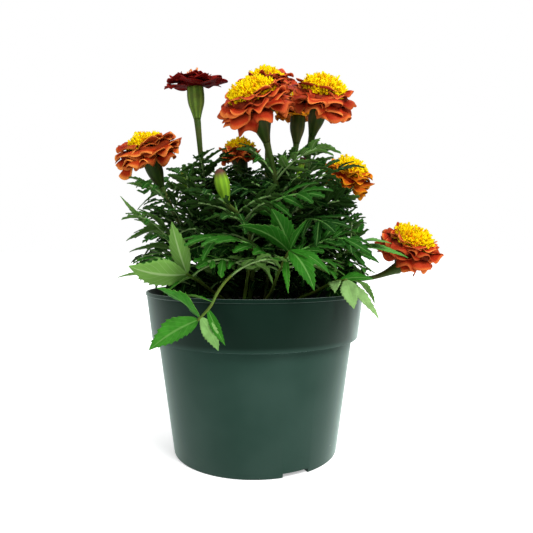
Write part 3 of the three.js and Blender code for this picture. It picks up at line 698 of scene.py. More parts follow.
FILLINGS = (
    Filling(Rule(low=(18.0, 46.0, 60.0), high=(55.0, 38.0, 40.0), ceiling=222.0, outermost=97.0, inward=0.8,
                 shorter=(1.0,), lifts=(0.0, 20.0), turns=(0.0, 35.0, -35.0), crowding=0.45, lowest=127.0),
            shares=(0.84, 0.72, 0.6, 0.5, 0.41, 0.32, 0.24, 0.16, 0.08), sides=(0.0, 120.0, 240.0),
            roll=30.0, largest=1.15, slip=0.04),
    Filling(Rule(low=(14.0, 44.0, 40.0), high=(50.0, 40.0, 40.0), ceiling=215.0, outermost=84.0, inward=1.0,
                 shorter=(1.0,), lifts=(0.0, 25.0), turns=(0.0, 40.0, -40.0), crowding=0.7, lowest=111.0),
            shares=(0.05, 0.1, 0.15, 0.2, 0.27, 0.34, 0.42, 0.5, 0.6), sides=(0.0, 90.0, 180.0, 270.0),
            roll=40.0, largest=1.1, front=-8.0),
)


@dataclass
class Layout:
    """The whole plant: stems, broad leaflets, the CAD's feathered leaves, and small ones between them."""

    SEED = 20
    FILL_SEED = 77
    LEVELS = 4
    JITTER = 30.0
    ROLL = 80.0
    QUARTER = 90.0
    LEAF_SIZES = (0.88, 1.12)
    BEADS = 60
    BEADS_ROUND = 8
    FEWEST_RINGS = 5
    RING_EVERY = 32.0
    CUP_RINGS = {
        HeadKind.BLOOM: ((0.8, 0.5), (0.55, 0.88), (0.3, 1.0), (0.0, CUP_MOUTH / CUP_BELLY)),
        HeadKind.BUD: ((0.85, 0.5), (0.6, 0.9), (0.35, 1.0), (0.1, 0.62), (0.0, 0.2)),
        HeadKind.SPENT: ((0.8, 0.7), (0.4, 0.9), (0.0, 1.0)),
    }

    stems: list[Stem] = field(default_factory=lambda: [Stem(shoot) for shoot in SHOOTS])
    leaves: list[tuple[int, Arch]] = field(default_factory=list)
    fillers: list[tuple[int, Arch]] = field(default_factory=list)

    def __post_init__(self) -> None:
        """Claims the stems and broad leaflets, then grows the feathered leaves."""
        self.room = Room(self.stems)
        for owner, stem in enumerate(self.stems):
            self.room.claim(self.beads(stem), owner)
        for owner, stem in enumerate(self.stems):
            for leaf in stem.shoot.broad:
                arch = Arch.of(leaf)
                flat, faces = BROAD.outline(arch.length, leaf.width)
                s, w = flat.T
                self.room.claim(self.room.samples(arch.at(s, w, 0 * s), faces), owner)
        self.grow()
        self.fill()

    def beads(self, stem: Stem) -> Array:
        """Spreads points along a stem and round the wide rings of its cup.

        Args:
            stem: the stem.

        Returns:
            The points.
        """
        points = [stem.line.at(np.arange(self.BEADS + 1) / self.BEADS)]
        head = stem.shoot.head
        turn = np.arange(self.BEADS_ROUND) / (self.BEADS_ROUND / 2) * math.pi
        flat = np.stack([np.cos(turn), np.sin(turn), 0 * turn], axis=1)
        if head.kind is HeadKind.BLOOM:
            height = float(np.linalg.norm(stem.line.at(0)[0] - stem.neck))
            steps = max(self.FEWEST_RINGS, round(height / self.RING_EVERY))
            for i in range(1, steps + 1):
                radius = mix(STEM_RADIUS, CUP_NECK, (i / steps) ** 2)
                points.append(stem.line.at(i / steps) + radius * flat)
        belly = CUP_BELLY if head.kind is HeadKind.BLOOM else head.radius
        for down, wide in self.CUP_RINGS.get(head.kind, ()):
            if belly * wide > STEM_RADIUS:
                points.append(stem.top - head.cup * down * stem.lean + belly * wide * flat)
        return np.concatenate(points)

    def grow(self) -> None:
        """Grows the feathered leaves that the CAD has."""
        dice = Dice(self.SEED)
        rule = Rule()
        for level in range(self.LEVELS):
            for owner, stem in enumerate(self.stems):
                own = stem.shoot.leaves
                if not own or level >= own.nodes:
                    continue
                share = mix(own.start, own.end, level / (own.nodes - 1)) if own.nodes > 1 else own.start
                at = stem.line.at(share)[0]
                outward = math.atan2(at[1], at[0])
                for side in (0.0, math.pi):
                    jitter = (dice.throw() - 0.5) * self.JITTER
                    roll = (dice.throw() - 0.5) * self.ROLL * DEG
                    size = dice.between(*self.LEAF_SIZES)
                    azimuth = outward + (own.turn + self.QUARTER * level + jitter) * DEG + side
                    arch = rule.place(self.room, owner, at, azimuth, roll, size)
                    if arch:
                        self.leaves.append((owner, arch))

    def fill(self) -> None:
        """Grows smaller leaves between them, which may touch their neighbours."""
        dice = Dice(self.FILL_SEED)
        for filling in FILLINGS:
            for share in filling.shares:
                for owner, stem in enumerate(self.stems):
                    slip = dice.between(-filling.slip, filling.slip) if filling.slip else 0.0
                    at = stem.line.at(min(filling.highest, share + slip))[0]
                    first = dice.between(0, 360)
                    if at[1] < filling.front:
                        continue
                    for side in filling.sides:
                        roll = dice.between(-filling.roll, filling.roll) * DEG
                        size = dice.between(filling.smallest, filling.largest)
                        arch = filling.rule.place(self.room, owner, at, (first + side) * DEG, roll, size)
                        if arch:
                            self.fillers.append((owner, arch))


# Meshes: forms modelled once, then laid many times into one piece

DIGITS = 4  # to how many digits rows of points are told apart
RIM = 0.9  # a point of a sheet lies on its rim past this share of its half width
POINTED = 0.999  # a feathered leaf's blade comes to a point past this share of its length
SIDES_PER_RIB = 3  # how many sides of a tube make one wave of its ribs
ABOUT_ROUND = 6.28  # about a full turn, in radians


def alone() -> None:
    """Leaves no object selected and makes sure of object mode."""
    if bpy.context.object and bpy.context.object.mode != "OBJECT":
        bpy.ops.object.mode_set(mode="OBJECT")
    bpy.ops.object.select_all(action="DESELECT")


@dataclass(frozen=True)
class Form:
    """A mesh as arrays: its points, the corners of all faces in one row, and each face's corner count."""

    points: Array
    corners: Array
    sizes: Array

    @classmethod
    def taken(cls, thing: Thing) -> "Form":
        """Takes the mesh of an object, and removes the object.

        Args:
            thing: the object.

        Returns:
            Its form.
        """
        mesh = thing.data
        points = np.empty(len(mesh.vertices) * 3)
        mesh.vertices.foreach_get("co", points)
        corners = np.empty(len(mesh.loops), np.int32)
        mesh.loops.foreach_get("vertex_index", corners)
        sizes = np.empty(len(mesh.polygons), np.int32)
        mesh.polygons.foreach_get("loop_total", sizes)
        bpy.data.objects.remove(thing)
        bpy.data.meshes.remove(mesh)
        return cls(points.reshape(-1, 3), corners, sizes)


def sheet_form(across: int, along: int) -> Form:
    """Models a flat closed sheet: x from -1 to 1 across, y from 0 to 1 along, and z -1 below or 1 above.

    Args:
        across: how many faces it has across.
        along: how many it has along.

    Returns:
        Its form.
    """
    alone()
    bpy.ops.mesh.primitive_grid_add(x_subdivisions=across, y_subdivisions=along, size=2)
    thing = bpy.context.object
    shell = thing.modifiers.new("Shell", "SOLIDIFY")
    shell.thickness = 2
    shell.offset = 0
    bpy.ops.object.modifier_apply(modifier=shell.name)
    form = Form.taken(thing)
    form.points[:, 1] = (form.points[:, 1] + 1) / 2
    return form


def turned_form(rings: list[Pair], sides: int) -> Form:
    """Models a closed round form by extruding a circle up through rings.

    Args:
        rings: radius and height of each ring, from the foot to the end.
        sides: how many sides it has.

    Returns:
        Its form, its points in rings.
    """
    alone()
    radius, height = rings[0]
    bpy.ops.mesh.primitive_circle_add(vertices=sides, radius=radius, fill_type="NGON", location=(0, 0, 0))
    thing = bpy.context.object
    bpy.ops.object.mode_set(mode="EDIT")
    bpy.ops.mesh.select_all(action="SELECT")
    bpy.ops.transform.translate(value=(0, 0, height))
    bpy.ops.mesh.flip_normals()
    bpy.ops.object.mode_set(mode="OBJECT")
    for radius_to, height_to in rings[1:]:
        bpy.ops.object.mode_set(mode="EDIT")
        bpy.ops.mesh.extrude_region_move(TRANSFORM_OT_translate={"value": (0, 0, height_to - height)})
        bpy.ops.transform.resize(value=(radius_to / radius, radius_to / radius, 1))
        bpy.ops.object.mode_set(mode="OBJECT")
        radius, height = radius_to, height_to
    bpy.ops.object.mode_set(mode="EDIT")
    bpy.ops.mesh.select_all(action="SELECT")
    bpy.ops.mesh.normals_make_consistent(inside=False)
    bpy.ops.object.mode_set(mode="OBJECT")
    return Form.taken(thing)


class Piece:
    """Gathers forms laid in place, with what the finishes read at each point, and makes them one object."""

    def __init__(self, name: str) -> None:
        """Starts an empty piece.

        Args:
            name: its name.
        """
        self.name = name
        self.points: list[Array] = []
        self.corners: list[Array] = []
        self.sizes: list[Array] = []
        self.finish: list[Array] = []
        self.blade: list[Array] = []
        self.tone: list[Array] = []
        self.count = 0

    def lay(self, form: Form, points: Array, blade: Array, tone: float = 0.5, finish: int = 0) -> None:
        """Adds one form.

        Args:
            form: the form, for its faces.
            points: where its points lie, in millimetres.
            blade: for each point, its place across and along the blade and its side, 1 above and -1 below.
            tone: how light this one is, from 0 to 1.
            finish: the number of its finish in this piece.
        """
        self.points.append(points)
        self.corners.append(form.corners + self.count)
        self.sizes.append(form.sizes)
        self.finish.append(np.full(len(form.sizes), finish, np.int32))
        self.blade.append(blade)
        self.tone.append(np.full(len(points), tone))
        self.count += len(points)

    def build(self, finishes: list[Paint]) -> Thing:
        """Makes the object, in metres.

        Args:
            finishes: its materials, by number.

        Returns:
            The object, linked to the scene.
        """
        points = np.concatenate(self.points) * MM
        corners = np.concatenate(self.corners)
        sizes = np.concatenate(self.sizes)
        mesh = bpy.data.meshes.new(self.name)
        mesh.vertices.add(len(points))
        mesh.vertices.foreach_set("co", points.astype(np.float32).ravel())
        mesh.loops.add(len(corners))
        mesh.loops.foreach_set("vertex_index", corners)
        mesh.polygons.add(len(sizes))
        starts = np.concatenate([[0], np.cumsum(sizes)[:-1]]).astype(np.int32)
        mesh.polygons.foreach_set("loop_start", starts)
        mesh.polygons.foreach_set("material_index", np.concatenate(self.finish))
        mesh.polygons.foreach_set("use_smooth", np.ones(len(sizes), bool))
        blade = mesh.attributes.new("blade", "FLOAT_VECTOR", "POINT")
        blade.data.foreach_set("vector", np.concatenate(self.blade).astype(np.float32).ravel())
        tone = mesh.attributes.new("tone", "FLOAT", "POINT")
        tone.data.foreach_set("value", np.concatenate(self.tone).astype(np.float32))
        for finish in finishes:
            mesh.materials.append(finish)
        mesh.update(calc_edges=True)
        thing = bpy.data.objects.new(self.name, mesh)
        bpy.context.collection.objects.link(thing)
        return thing


def rows_of(t: Array) -> Array:
    """Returns the number of the row that each point of a sheet lies in, from its place along."""
    return np.round(t * (len(np.unique(np.round(t, DIGITS))) - 1)).astype(int)


def ring_order(form: Form, rings: int) -> Array:
    """Counts the points of a turned form ring by ring and round each ring.

    Args:
        form: the form.
        rings: how many rings it has.

    Returns:
        For each point its number.
    """
    sides = len(form.points) // rings
    turn = np.arctan2(form.points[:, 1], form.points[:, 0]) / (2 * math.pi) * sides
    heights = np.round(form.points[:, 2], DIGITS)
    ring = np.searchsorted(np.unique(heights), heights)
    return ring * sides + np.round(turn).astype(int) % sides


def tube(piece: Piece, form: Form, path: Array, radii: Array, tone: float, finish: int,
         along: Array) -> None:
    """Lays a turned form along a path.

    Args:
        piece: the piece it goes to.
        form: a turned form with as many rings as the path has points.
        path: the centre of each ring.
        radii: the radius of each ring, or for each ring one per side.
        tone: how light it is.
        finish: the number of its finish.
        along: for each ring, what the finish reads as its place along.
    """
    rings = len(path)
    sides = len(form.points) // rings
    ahead = np.gradient(path, axis=0)
    ahead /= np.linalg.norm(ahead, axis=1)[:, None]
    side = np.array([1.0, 0.0, 0.0])
    turn = np.arange(sides) / sides * 2 * math.pi
    laid = []
    for i in range(rings):
        side = side - side @ ahead[i] * ahead[i]
        side /= np.linalg.norm(side)
        other = np.cross(ahead[i], side)
        ring = np.cos(turn)[:, None] * side + np.sin(turn)[:, None] * other
        laid.append(path[i] + np.atleast_1d(radii[i])[:, None] * ring)
    order = ring_order(form, rings)
    points = np.concatenate(laid)[order]
    ribs = np.tile(np.cos(turn * (sides // SIDES_PER_RIB)), rings)
    blade = np.stack([ribs, np.repeat(along, sides), np.ones(rings * sides)], axis=1)
    piece.lay(form, points, blade[order], tone, finish)


# Finishes


class Shader:
    """A short way to add and join the nodes of one node tree."""

    def __init__(self, tree: bpy.types.NodeTree) -> None:
        """Keeps the tree."""
        self.tree = tree

    def add(self, kind: str, **values: object) -> Node:
        """Adds a node.

        Args:
            kind: its type name without ShaderNode.
            values: properties of the node, set as they are.

        Returns:
            The node.
        """
        node = self.tree.nodes.new("ShaderNode" + kind)
        for name, value in values.items():
            setattr(node, name, value)
        return node

    def put(self, socket: Socket, value: object) -> None:
        """Joins a socket to an input, or sets a constant on it.

        Args:
            socket: the input.
            value: a socket, a number or a colour.
        """
        if isinstance(value, Socket):
            self.tree.links.new(value, socket)
        elif isinstance(value, tuple) and socket.type == "RGBA":
            socket.default_value = (*value, 1.0)
        else:
            socket.default_value = value

    def math(self, operation: str, *values: object) -> Socket:
        """Adds a sum.

        Args:
            operation: its name in Blender.
            values: sockets or numbers.

        Returns:
            Its result.
        """
        node = self.add("Math", operation=operation)
        for socket, value in zip(node.inputs, values):
            self.put(socket, value)
        return node.outputs[0]

    def span(self, value: object, low: float, high: float, out_low: float = 0.0,
             out_high: float = 1.0) -> Socket:
        """Moves a value smoothly from one range to another.

        Args:
            value: the value.
            low, high: the ends of the first range.
            out_low, out_high: what the value is there afterwards.

        Returns:
            The result.
        """
        node = self.add("MapRange", interpolation_type="SMOOTHSTEP")
        for socket, number in zip(node.inputs, (value, low, high, out_low, out_high)):
            self.put(socket, number)
        return node.outputs[0]

    def blend(self, share: object, a: object, b: object) -> Socket:
        """Mixes two colours.

        Args:
            share: how much of the second there is.
            a, b: the two colours.

        Returns:
            The mixed colour.
        """
        node = self.add("Mix", data_type="RGBA")
        sockets = {socket.identifier: socket for socket in node.inputs}
        self.put(sockets["Factor_Float"], share)
        self.put(sockets["A_Color"], a)
        self.put(sockets["B_Color"], b)
        return next(socket for socket in node.outputs if socket.identifier == "Result_Color")

    def noise(self, place: object, scale: object, detail: float = 3.0) -> Socket:
        """Adds a cloudy noise.

        Args:
            place: the coordinates it is read at.
            scale: how fine it is.
            detail: how many finer layers it has.

        Returns:
            Its value.
        """
        node = self.add("TexNoise")
        self.put(node.inputs["Vector"], place)
        self.put(node.inputs["Scale"], scale)
        node.inputs["Detail"].default_value = detail
        return node.outputs[0]


SOCKETS = {tuple: "NodeSocketColor", float: "NodeSocketFloat"}


@dataclass
class Effect:
    """A node group that several finishes share."""

    name: str
    inputs: dict[str, object]
    outputs: dict[str, str]
    shader: Shader = field(init=False)
    start: Node = field(init=False)
    end: Node = field(init=False)

    def __post_init__(self) -> None:
        """Makes the empty group with its sockets."""
        tree = bpy.data.node_groups.new(self.name, "ShaderNodeTree")
        for title, default in self.inputs.items():
            socket = tree.interface.new_socket(title, in_out="INPUT", socket_type=SOCKETS[type(default)])
            socket.default_value = (*default, 1.0) if isinstance(default, tuple) else default
        for title, kind in self.outputs.items():
            tree.interface.new_socket(title, in_out="OUTPUT", socket_type=kind)
        self.shader = Shader(tree)
        self.start = tree.nodes.new("NodeGroupInput")
        self.end = tree.nodes.new("NodeGroupOutput")

    def used(self, shader: Shader, **values: object) -> Node:
        """Adds the effect to a material.

        Args:
            shader: the material's shader.
            values: sockets or constants for its inputs, with _ for each space.

        Returns:
            The group's node.
        """
        node = shader.add("Group", node_tree=self.shader.tree)
        for title, value in values.items():
            shader.put(node.inputs[title.replace("_", " ")], value)
        return node


def mottle_effect() -> Effect:
    """Makes the effect that varies a colour by a cloudy noise in object space.

    Returns:
        The effect.
    """
    inputs = {"Color": (0.5, 0.5, 0.5), "Other": (0.3, 0.3, 0.3), "Scale": 60.0, "Amount": 0.5}
    effect = Effect("Mottle", inputs, {"Color": "NodeSocketColor", "Noise": "NodeSocketFloat"})
    shader, start, end = effect.shader, effect.start, effect.end
    place = shader.add("TexCoord").outputs["Object"]
    noise = shader.noise(place, start.outputs["Scale"])
    share = shader.math("MULTIPLY", shader.span(noise, 0.35, 0.65), start.outputs["Amount"])
    shader.put(end.inputs["Color"], shader.blend(share, start.outputs["Color"], start.outputs["Other"]))
    shader.put(end.inputs["Noise"], noise)
    return effect


def blade_effect() -> Effect:
    """Makes the effect that reads a blade's own coordinates: rib, side veins, edge, side and tone.

    Returns:
        The effect.
    """
    kinds = ("Rib", "Veins", "Edge", "Along", "Across", "Under", "Tone")
    effect = Effect("Blade", {"Rib Width": 0.14, "Vein Count": 7.0, "Vein Slant": 2.2},
                    {kind: "NodeSocketFloat" for kind in kinds})
    shader, start, end = effect.shader, effect.start, effect.end
    blade = shader.add("Attribute", attribute_name="blade")
    parts = shader.add("SeparateXYZ")
    shader.put(parts.inputs[0], blade.outputs["Vector"])
    across = shader.math("ABSOLUTE", parts.outputs[0])
    rib = shader.math("DIVIDE", across, start.outputs["Rib Width"])
    counted = shader.math("MULTIPLY", parts.outputs[1], start.outputs["Vein Count"])
    slant = shader.math("MULTIPLY", across, start.outputs["Vein Slant"])
    slanted = shader.math("MULTIPLY", shader.math("SUBTRACT", counted, slant), math.pi)
    wave = shader.math("ABSOLUTE", shader.math("SINE", slanted))
    results = {
        "Rib": shader.span(rib, 0.3, 1.0, 1.0, 0.0),
        "Veins": shader.span(wave, 0.0, 0.28, 1.0, 0.0),
        "Edge": shader.span(across, 0.72, 1.0),
        "Along": parts.outputs[1],
        "Across": parts.outputs[0],
        "Under": shader.span(parts.outputs[2], -0.2, 0.2, 1.0, 0.0),
        "Tone": shader.add("Attribute", attribute_name="tone").outputs["Fac"],
    }
    for title, value in results.items():
        shader.put(end.inputs[title], value)
    return effect


@dataclass(frozen=True)
class Effects:
    """The node groups that the finishes share."""

    mottle: Effect
    blade: Effect


def material(name: str, color: Color) -> tuple[Paint, Shader, Node]:
    """Starts a procedural material.

    Args:
        name: its name.
        color: its plain colour for the viewport.

    Returns:
        The material, its shader and its Principled node.
    """
    made = bpy.data.materials.new(name)
    made.use_nodes = True
    made.diffuse_color = (*color, 1.0)
    return made, Shader(made.node_tree), made.node_tree.nodes["Principled BSDF"]


def plain(skin: Node, **values: object) -> None:
    """Sets constants on a node's inputs, each named with _ for each space."""
    for title, value in values.items():
        skin.inputs[title.replace("_", " ")].default_value = value


def bumped(shader: Shader, height: Socket, strength: float, distance: float) -> Socket:
    """Raises a surface by a value.

    Args:
        shader: the material's shader.
        height: the value.
        strength: how strongly it shows.
        distance: how high it is, in metres.

    Returns:
        The normal.
    """
    node = shader.add("Bump")
    node.inputs["Strength"].default_value = strength
    node.inputs["Distance"].default_value = distance
    shader.put(node.inputs["Height"], height)
    return node.outputs[0]


@dataclass(frozen=True)
class LeafFinish:
    """Leaves: dark green above, where a low tone stands for painted shade deep in the plant, and paler as
    the tone rises towards young green, pale ribs, olive undersides that are painted darker deep in the
    plant.
    """

    name: str = "Leaf green"
    # the darkest green, which is also the painted shade of leaves deep in the plant
    shade_and_dark_green: Color = (0.0008, 0.017, 0.0012)
    young: Color = (0.04, 0.24, 0.015)
    under: Color = (0.125, 0.27, 0.05)
    pale: Color = (0.29, 0.43, 0.17)
    rib: Color = (0.19, 0.38, 0.10)
    spot: Color = (0.0, 0.01, 0.0)
    veins: float = 0.16
    ribs: float = 0.38
    under_veins: float = 0.3
    under_ribs: float = 0.8
    under_shade: float = 0.9
    roughness: float = 0.5
    gloss: float = 0.035

    def make(self, effects: Effects) -> Paint:
        """Makes the material.

        Args:
            effects: the shared node groups.

        Returns:
            The material.
        """
        made, shader, skin = material(self.name, self.young)
        blade = effects.blade.used(shader).outputs
        tone = blade["Tone"]
        # painted shade: a low tone turns the upper side towards the darkest green
        green = shader.blend(shader.span(tone, 0.0, 0.85), self.shade_and_dark_green, self.young)
        body = shader.blend(shader.span(tone, 0.6, 1.0), green, self.pale)
        deep = shader.blend(0.35, body, self.spot)
        mottled = effects.mottle.used(shader, Color=body, Other=deep, Scale=220.0, Amount=0.7)
        veins = shader.math("MULTIPLY", blade["Veins"], self.veins)
        veined = shader.blend(veins, mottled.outputs["Color"], self.rib)
        ribbed = shader.blend(shader.math("MULTIPLY", blade["Rib"], self.ribs), veined, self.rib)
        under_veins = shader.math("MULTIPLY", blade["Veins"], self.under_veins)
        netted = shader.blend(under_veins, self.under, self.pale)
        below = shader.blend(shader.math("MULTIPLY", blade["Rib"], self.under_ribs), netted, self.pale)
        # painted shade: the undersides of leaves with a low tone are darkened too
        shaded = shader.blend(self.under_shade, below, self.shade_and_dark_green)
        toned = shader.blend(shader.span(tone, 0.0, 0.6), shaded, below)
        shader.put(skin.inputs["Base Color"], shader.blend(blade["Under"], ribbed, toned))
        raised = shader.math("ADD", blade["Rib"], shader.math("MULTIPLY", blade["Veins"], 0.5))
        shader.put(skin.inputs["Normal"], bumped(shader, raised, strength=0.35, distance=0.0004))
        plain(skin, Roughness=self.roughness, Specular_IOR_Level=self.gloss)
        return made


@dataclass(frozen=True)
class StemFinish:
    """Stems, cups and buds: ribbed green with painted shade in the grooves, with reddish streaks, and a
    purple-brown tip where they say so.
    """

    name: str = "Stem green"
    deep: Color = (0.012, 0.03, 0.005)
    light: Color = (0.17, 0.31, 0.035)
    streak: Color = (0.16, 0.07, 0.03)
    tip: Color = (0.13, 0.05, 0.045)
    tip_from: float = 0.9
    tip_length: float = 0.22
    groove_shade: float = 0.5
    roughness: float = 0.46
    gloss: float = 0.1

    def make(self, effects: Effects) -> Paint:
        """Makes the material.

        Args:
            effects: the shared node groups.

        Returns:
            The material.
        """
        made, shader, skin = material(self.name, self.light)
        blade = effects.blade.used(shader).outputs
        body = shader.blend(blade["Tone"], self.deep, self.light)
        streaked = effects.mottle.used(shader, Color=body, Other=self.streak, Scale=90.0, Amount=0.28)
        # painted shade: the grooves between the ribs are darkened
        shade_in_grooves = shader.span(blade["Across"], -0.5, 0.6, self.groove_shade, 0.0)
        ribbed = shader.blend(shade_in_grooves, streaked.outputs["Color"], self.deep)
        share = shader.span(blade["Along"], self.tip_from, self.tip_from + self.tip_length)
        shader.put(skin.inputs["Base Color"], shader.blend(share, ribbed, self.tip))
        plain(skin, Roughness=self.roughness, Specular_IOR_Level=self.gloss)
        return made


@dataclass(frozen=True)
class PetalFinish:
    """Petals: a dark base that is painted shade where the layers crowd towards the root, a streaked middle,
    a lighter edge, and a duller underside.
    """

    name: str
    # the dark colour towards the root, painted shade between the petal layers
    base: Color
    middle: Color
    edge: Color
    under: Color
    edge_share: float = 0.6
    edge_vary: float = 0.8
    veins: float = 0.3
    shade: float = 0.6
    dull: float = 0.55
    roughness: float = 0.6
    gloss: float = 0.03

    def make(self, effects: Effects) -> Paint:
        """Makes the material.

        Args:
            effects: the shared node groups.

        Returns:
            The material.
        """
        made, shader, skin = material(self.name, self.middle)
        blade = effects.blade.used(shader, Vein_Count=0.0, Vein_Slant=6.0).outputs
        along = blade["Along"]
        # painted shade: each petal darkens towards its root, where the layers crowd
        grown = shader.blend(shader.span(along, 0.4, 0.96), self.base, self.middle)
        sides = shader.math("MULTIPLY", shader.span(blade["Edge"], 0.3, 1.0), shader.span(along, 0.3, 0.7))
        rim = shader.math("MAXIMUM", shader.span(along, 0.87, 1.0), sides)
        least = self.edge_share - self.edge_vary / 2
        varied = shader.math("MULTIPLY_ADD", blade["Tone"], self.edge_vary, least)
        edged = shader.blend(shader.math("MULTIPLY", rim, varied), grown, self.edge)
        streaked = shader.blend(shader.math("MULTIPLY", blade["Veins"], self.veins), edged, self.base)
        toned = shader.blend(shader.span(blade["Tone"], 0.0, 0.7, self.shade, 0.0), streaked, self.base)
        clouded = effects.mottle.used(shader, Color=toned, Other=self.under, Scale=130.0, Amount=0.4)
        lit = clouded.outputs["Color"]
        below = shader.blend(self.dull, lit, self.under)
        shader.put(skin.inputs["Base Color"], shader.blend(blade["Under"], lit, below))
        shader.put(skin.inputs["Normal"], bumped(shader, blade["Veins"], strength=0.3, distance=0.0003))
        plain(skin, Roughness=self.roughness, Specular_IOR_Level=self.gloss)
        return made


@dataclass(frozen=True)
class FloretFinish:
    """Florets: bright yellow lips over an orange throat, which is partly their own colour and partly painted
    shade deep in the crest, and a few that are spent.
    """

    name: str
    throat_and_shade: Color
    lip: Color
    spent: Color
    spent_share: float = 0.75
    roughness: float = 0.5
    gloss: float = 0.03

    def make(self, effects: Effects) -> Paint:
        """Makes the material.

        Args:
            effects: the shared node groups.

        Returns:
            The material.
        """
        made, shader, skin = material(self.name, self.lip)
        blade = effects.blade.used(shader).outputs
        # the orange towards each floret's foot is partly painted shade deep in the crest
        grown = shader.blend(shader.span(blade["Along"], 0.2, 0.6), self.throat_and_shade, self.lip)
        spent = shader.span(blade["Tone"], 0.82, 1.0, 0.0, self.spent_share)
        shader.put(skin.inputs["Base Color"], shader.blend(spent, grown, self.spent))
        plain(skin, Roughness=self.roughness, Specular_IOR_Level=self.gloss)
        return made


@dataclass(frozen=True)
class PotFinish:
    """The pot: dark green plastic, a little dusty, darker on the rim band, with a few pale specks."""

    name: str = "Pot plastic"
    band_color: Color = (0.0005, 0.010, 0.005)
    color: Color = (0.013, 0.038, 0.027)
    dust: Color = (0.027, 0.058, 0.045)
    sheen: Color = (0.8, 1.0, 0.92)
    speck: Color = (0.5, 0.55, 0.45)
    band_from: float = POT.band_bottom - 0.5
    band_to: float = POT.band_bottom + 4.0
    band_share: float = 0.9
    speck_rare: float = 0.985
    smoothest: float = 0.38
    roughest: float = 0.55
    gloss: float = 0.04
    sheen_weight: float = 0.8
    sheen_roughness: float = 0.36

    def make(self, effects: Effects) -> Paint:
        """Makes the material.

        Args:
            effects: the shared node groups.

        Returns:
            The material.
        """
        made, shader, skin = material(self.name, self.color)
        place = shader.add("TexCoord").outputs["Object"]
        parts = shader.add("SeparateXYZ")
        shader.put(parts.inputs[0], place)
        # the rim band is painted darker than the body and carries less of the dust
        high = shader.span(parts.outputs[2], self.band_from * MM, self.band_to * MM)
        body = shader.blend(high, self.color, self.band_color)
        dusty = shader.blend(shader.math("MULTIPLY", high, self.band_share), self.dust, self.band_color)
        clouds = effects.mottle.used(shader, Color=body, Other=dusty, Scale=14.0, Amount=0.7)
        cells = shader.add("TexVoronoi")
        shader.put(cells.inputs["Vector"], place)
        plain(cells, Scale=95.0)
        kinds = shader.add("SeparateColor")
        shader.put(kinds.inputs[0], cells.outputs["Color"])
        rare = shader.math("GREATER_THAN", kinds.outputs[0], self.speck_rare)
        spot = shader.span(cells.outputs["Distance"], 0.06, 0.12, 1.0, 0.0)
        speck = shader.math("MULTIPLY", spot, rare)
        shader.put(skin.inputs["Base Color"], shader.blend(speck, clouds.outputs["Color"], self.speck))
        rough = shader.span(clouds.outputs["Noise"], 0.3, 0.7, self.smoothest, self.roughest)
        shader.put(skin.inputs["Roughness"], rough)
        grain = shader.noise(place, scale=420.0, detail=2.0)
        shader.put(skin.inputs["Normal"], bumped(shader, grain, strength=0.06, distance=0.0003))
        plain(skin, Specular_IOR_Level=self.gloss, Sheen_Weight=self.sheen_weight,
              Sheen_Roughness=self.sheen_roughness, Sheen_Tint=(*self.sheen, 1.0))
        return made


@dataclass(frozen=True)
class SoilFinish:
    """Potting mix: near black, with browner fibres."""

    name: str = "Potting mix"
    dark: Color = (0.006, 0.004, 0.003)
    fibre: Color = (0.05, 0.03, 0.016)
    roughness: float = 0.95

    def make(self, effects: Effects) -> Paint:
        """Makes the material.

        Args:
            effects: the shared node groups.

        Returns:
            The material.
        """
        made, shader, skin = material(self.name, self.fibre)
        mixed = effects.mottle.used(shader, Color=self.dark, Other=self.fibre, Scale=240.0, Amount=0.8)
        shader.put(skin.inputs["Base Color"], mixed.outputs["Color"])
        grain = shader.noise(shader.add("TexCoord").outputs["Object"], scale=500.0, detail=5.0)
        shader.put(skin.inputs["Normal"], bumped(shader, grain, strength=0.8, distance=0.001))
        plain(skin, Roughness=self.roughness)
        return made


# each palette's first colour is the dark base, painted shade towards the petal roots
PETALS = {
    Palette.RUST: PetalFinish(
        "Rust petal", (0.05, 0.0006, 0.0003), (0.40, 0.022, 0.004), (0.90, 0.27, 0.055),
        (0.48, 0.07, 0.022)),
    Palette.EDGED: PetalFinish(
        "Edged petal", (0.08, 0.001, 0.0003), (0.38, 0.024, 0.003), (0.82, 0.29, 0.055),
        (0.40, 0.065, 0.012), 0.85),
    Palette.GOLDEN: PetalFinish(
        "Golden petal", (0.20, 0.006, 0.001), (0.56, 0.11, 0.005), (0.86, 0.42, 0.012),
        (0.34, 0.09, 0.006), 0.8),
    Palette.MAROON: PetalFinish(
        "Maroon petal", (0.045, 0.0005, 0.0005), (0.17, 0.005, 0.004), (0.31, 0.024, 0.014),
        (0.16, 0.007, 0.006), 0.45),
}
BUD = StemFinish("Bud green", (0.06, 0.15, 0.008), (0.22, 0.42, 0.02), (0.18, 0.36, 0.02),
                 (0.09, 0.03, 0.02), 0.62)
FLORETS = {
    False: FloretFinish("Gold floret", (0.82, 0.30, 0.0005), (0.86, 0.62, 0.001), (0.62, 0.2, 0.003)),
    True: FloretFinish("Tan floret", (0.12, 0.02, 0.004), (0.62, 0.22, 0.06), (0.25, 0.05, 0.01)),
}


# Plant pieces


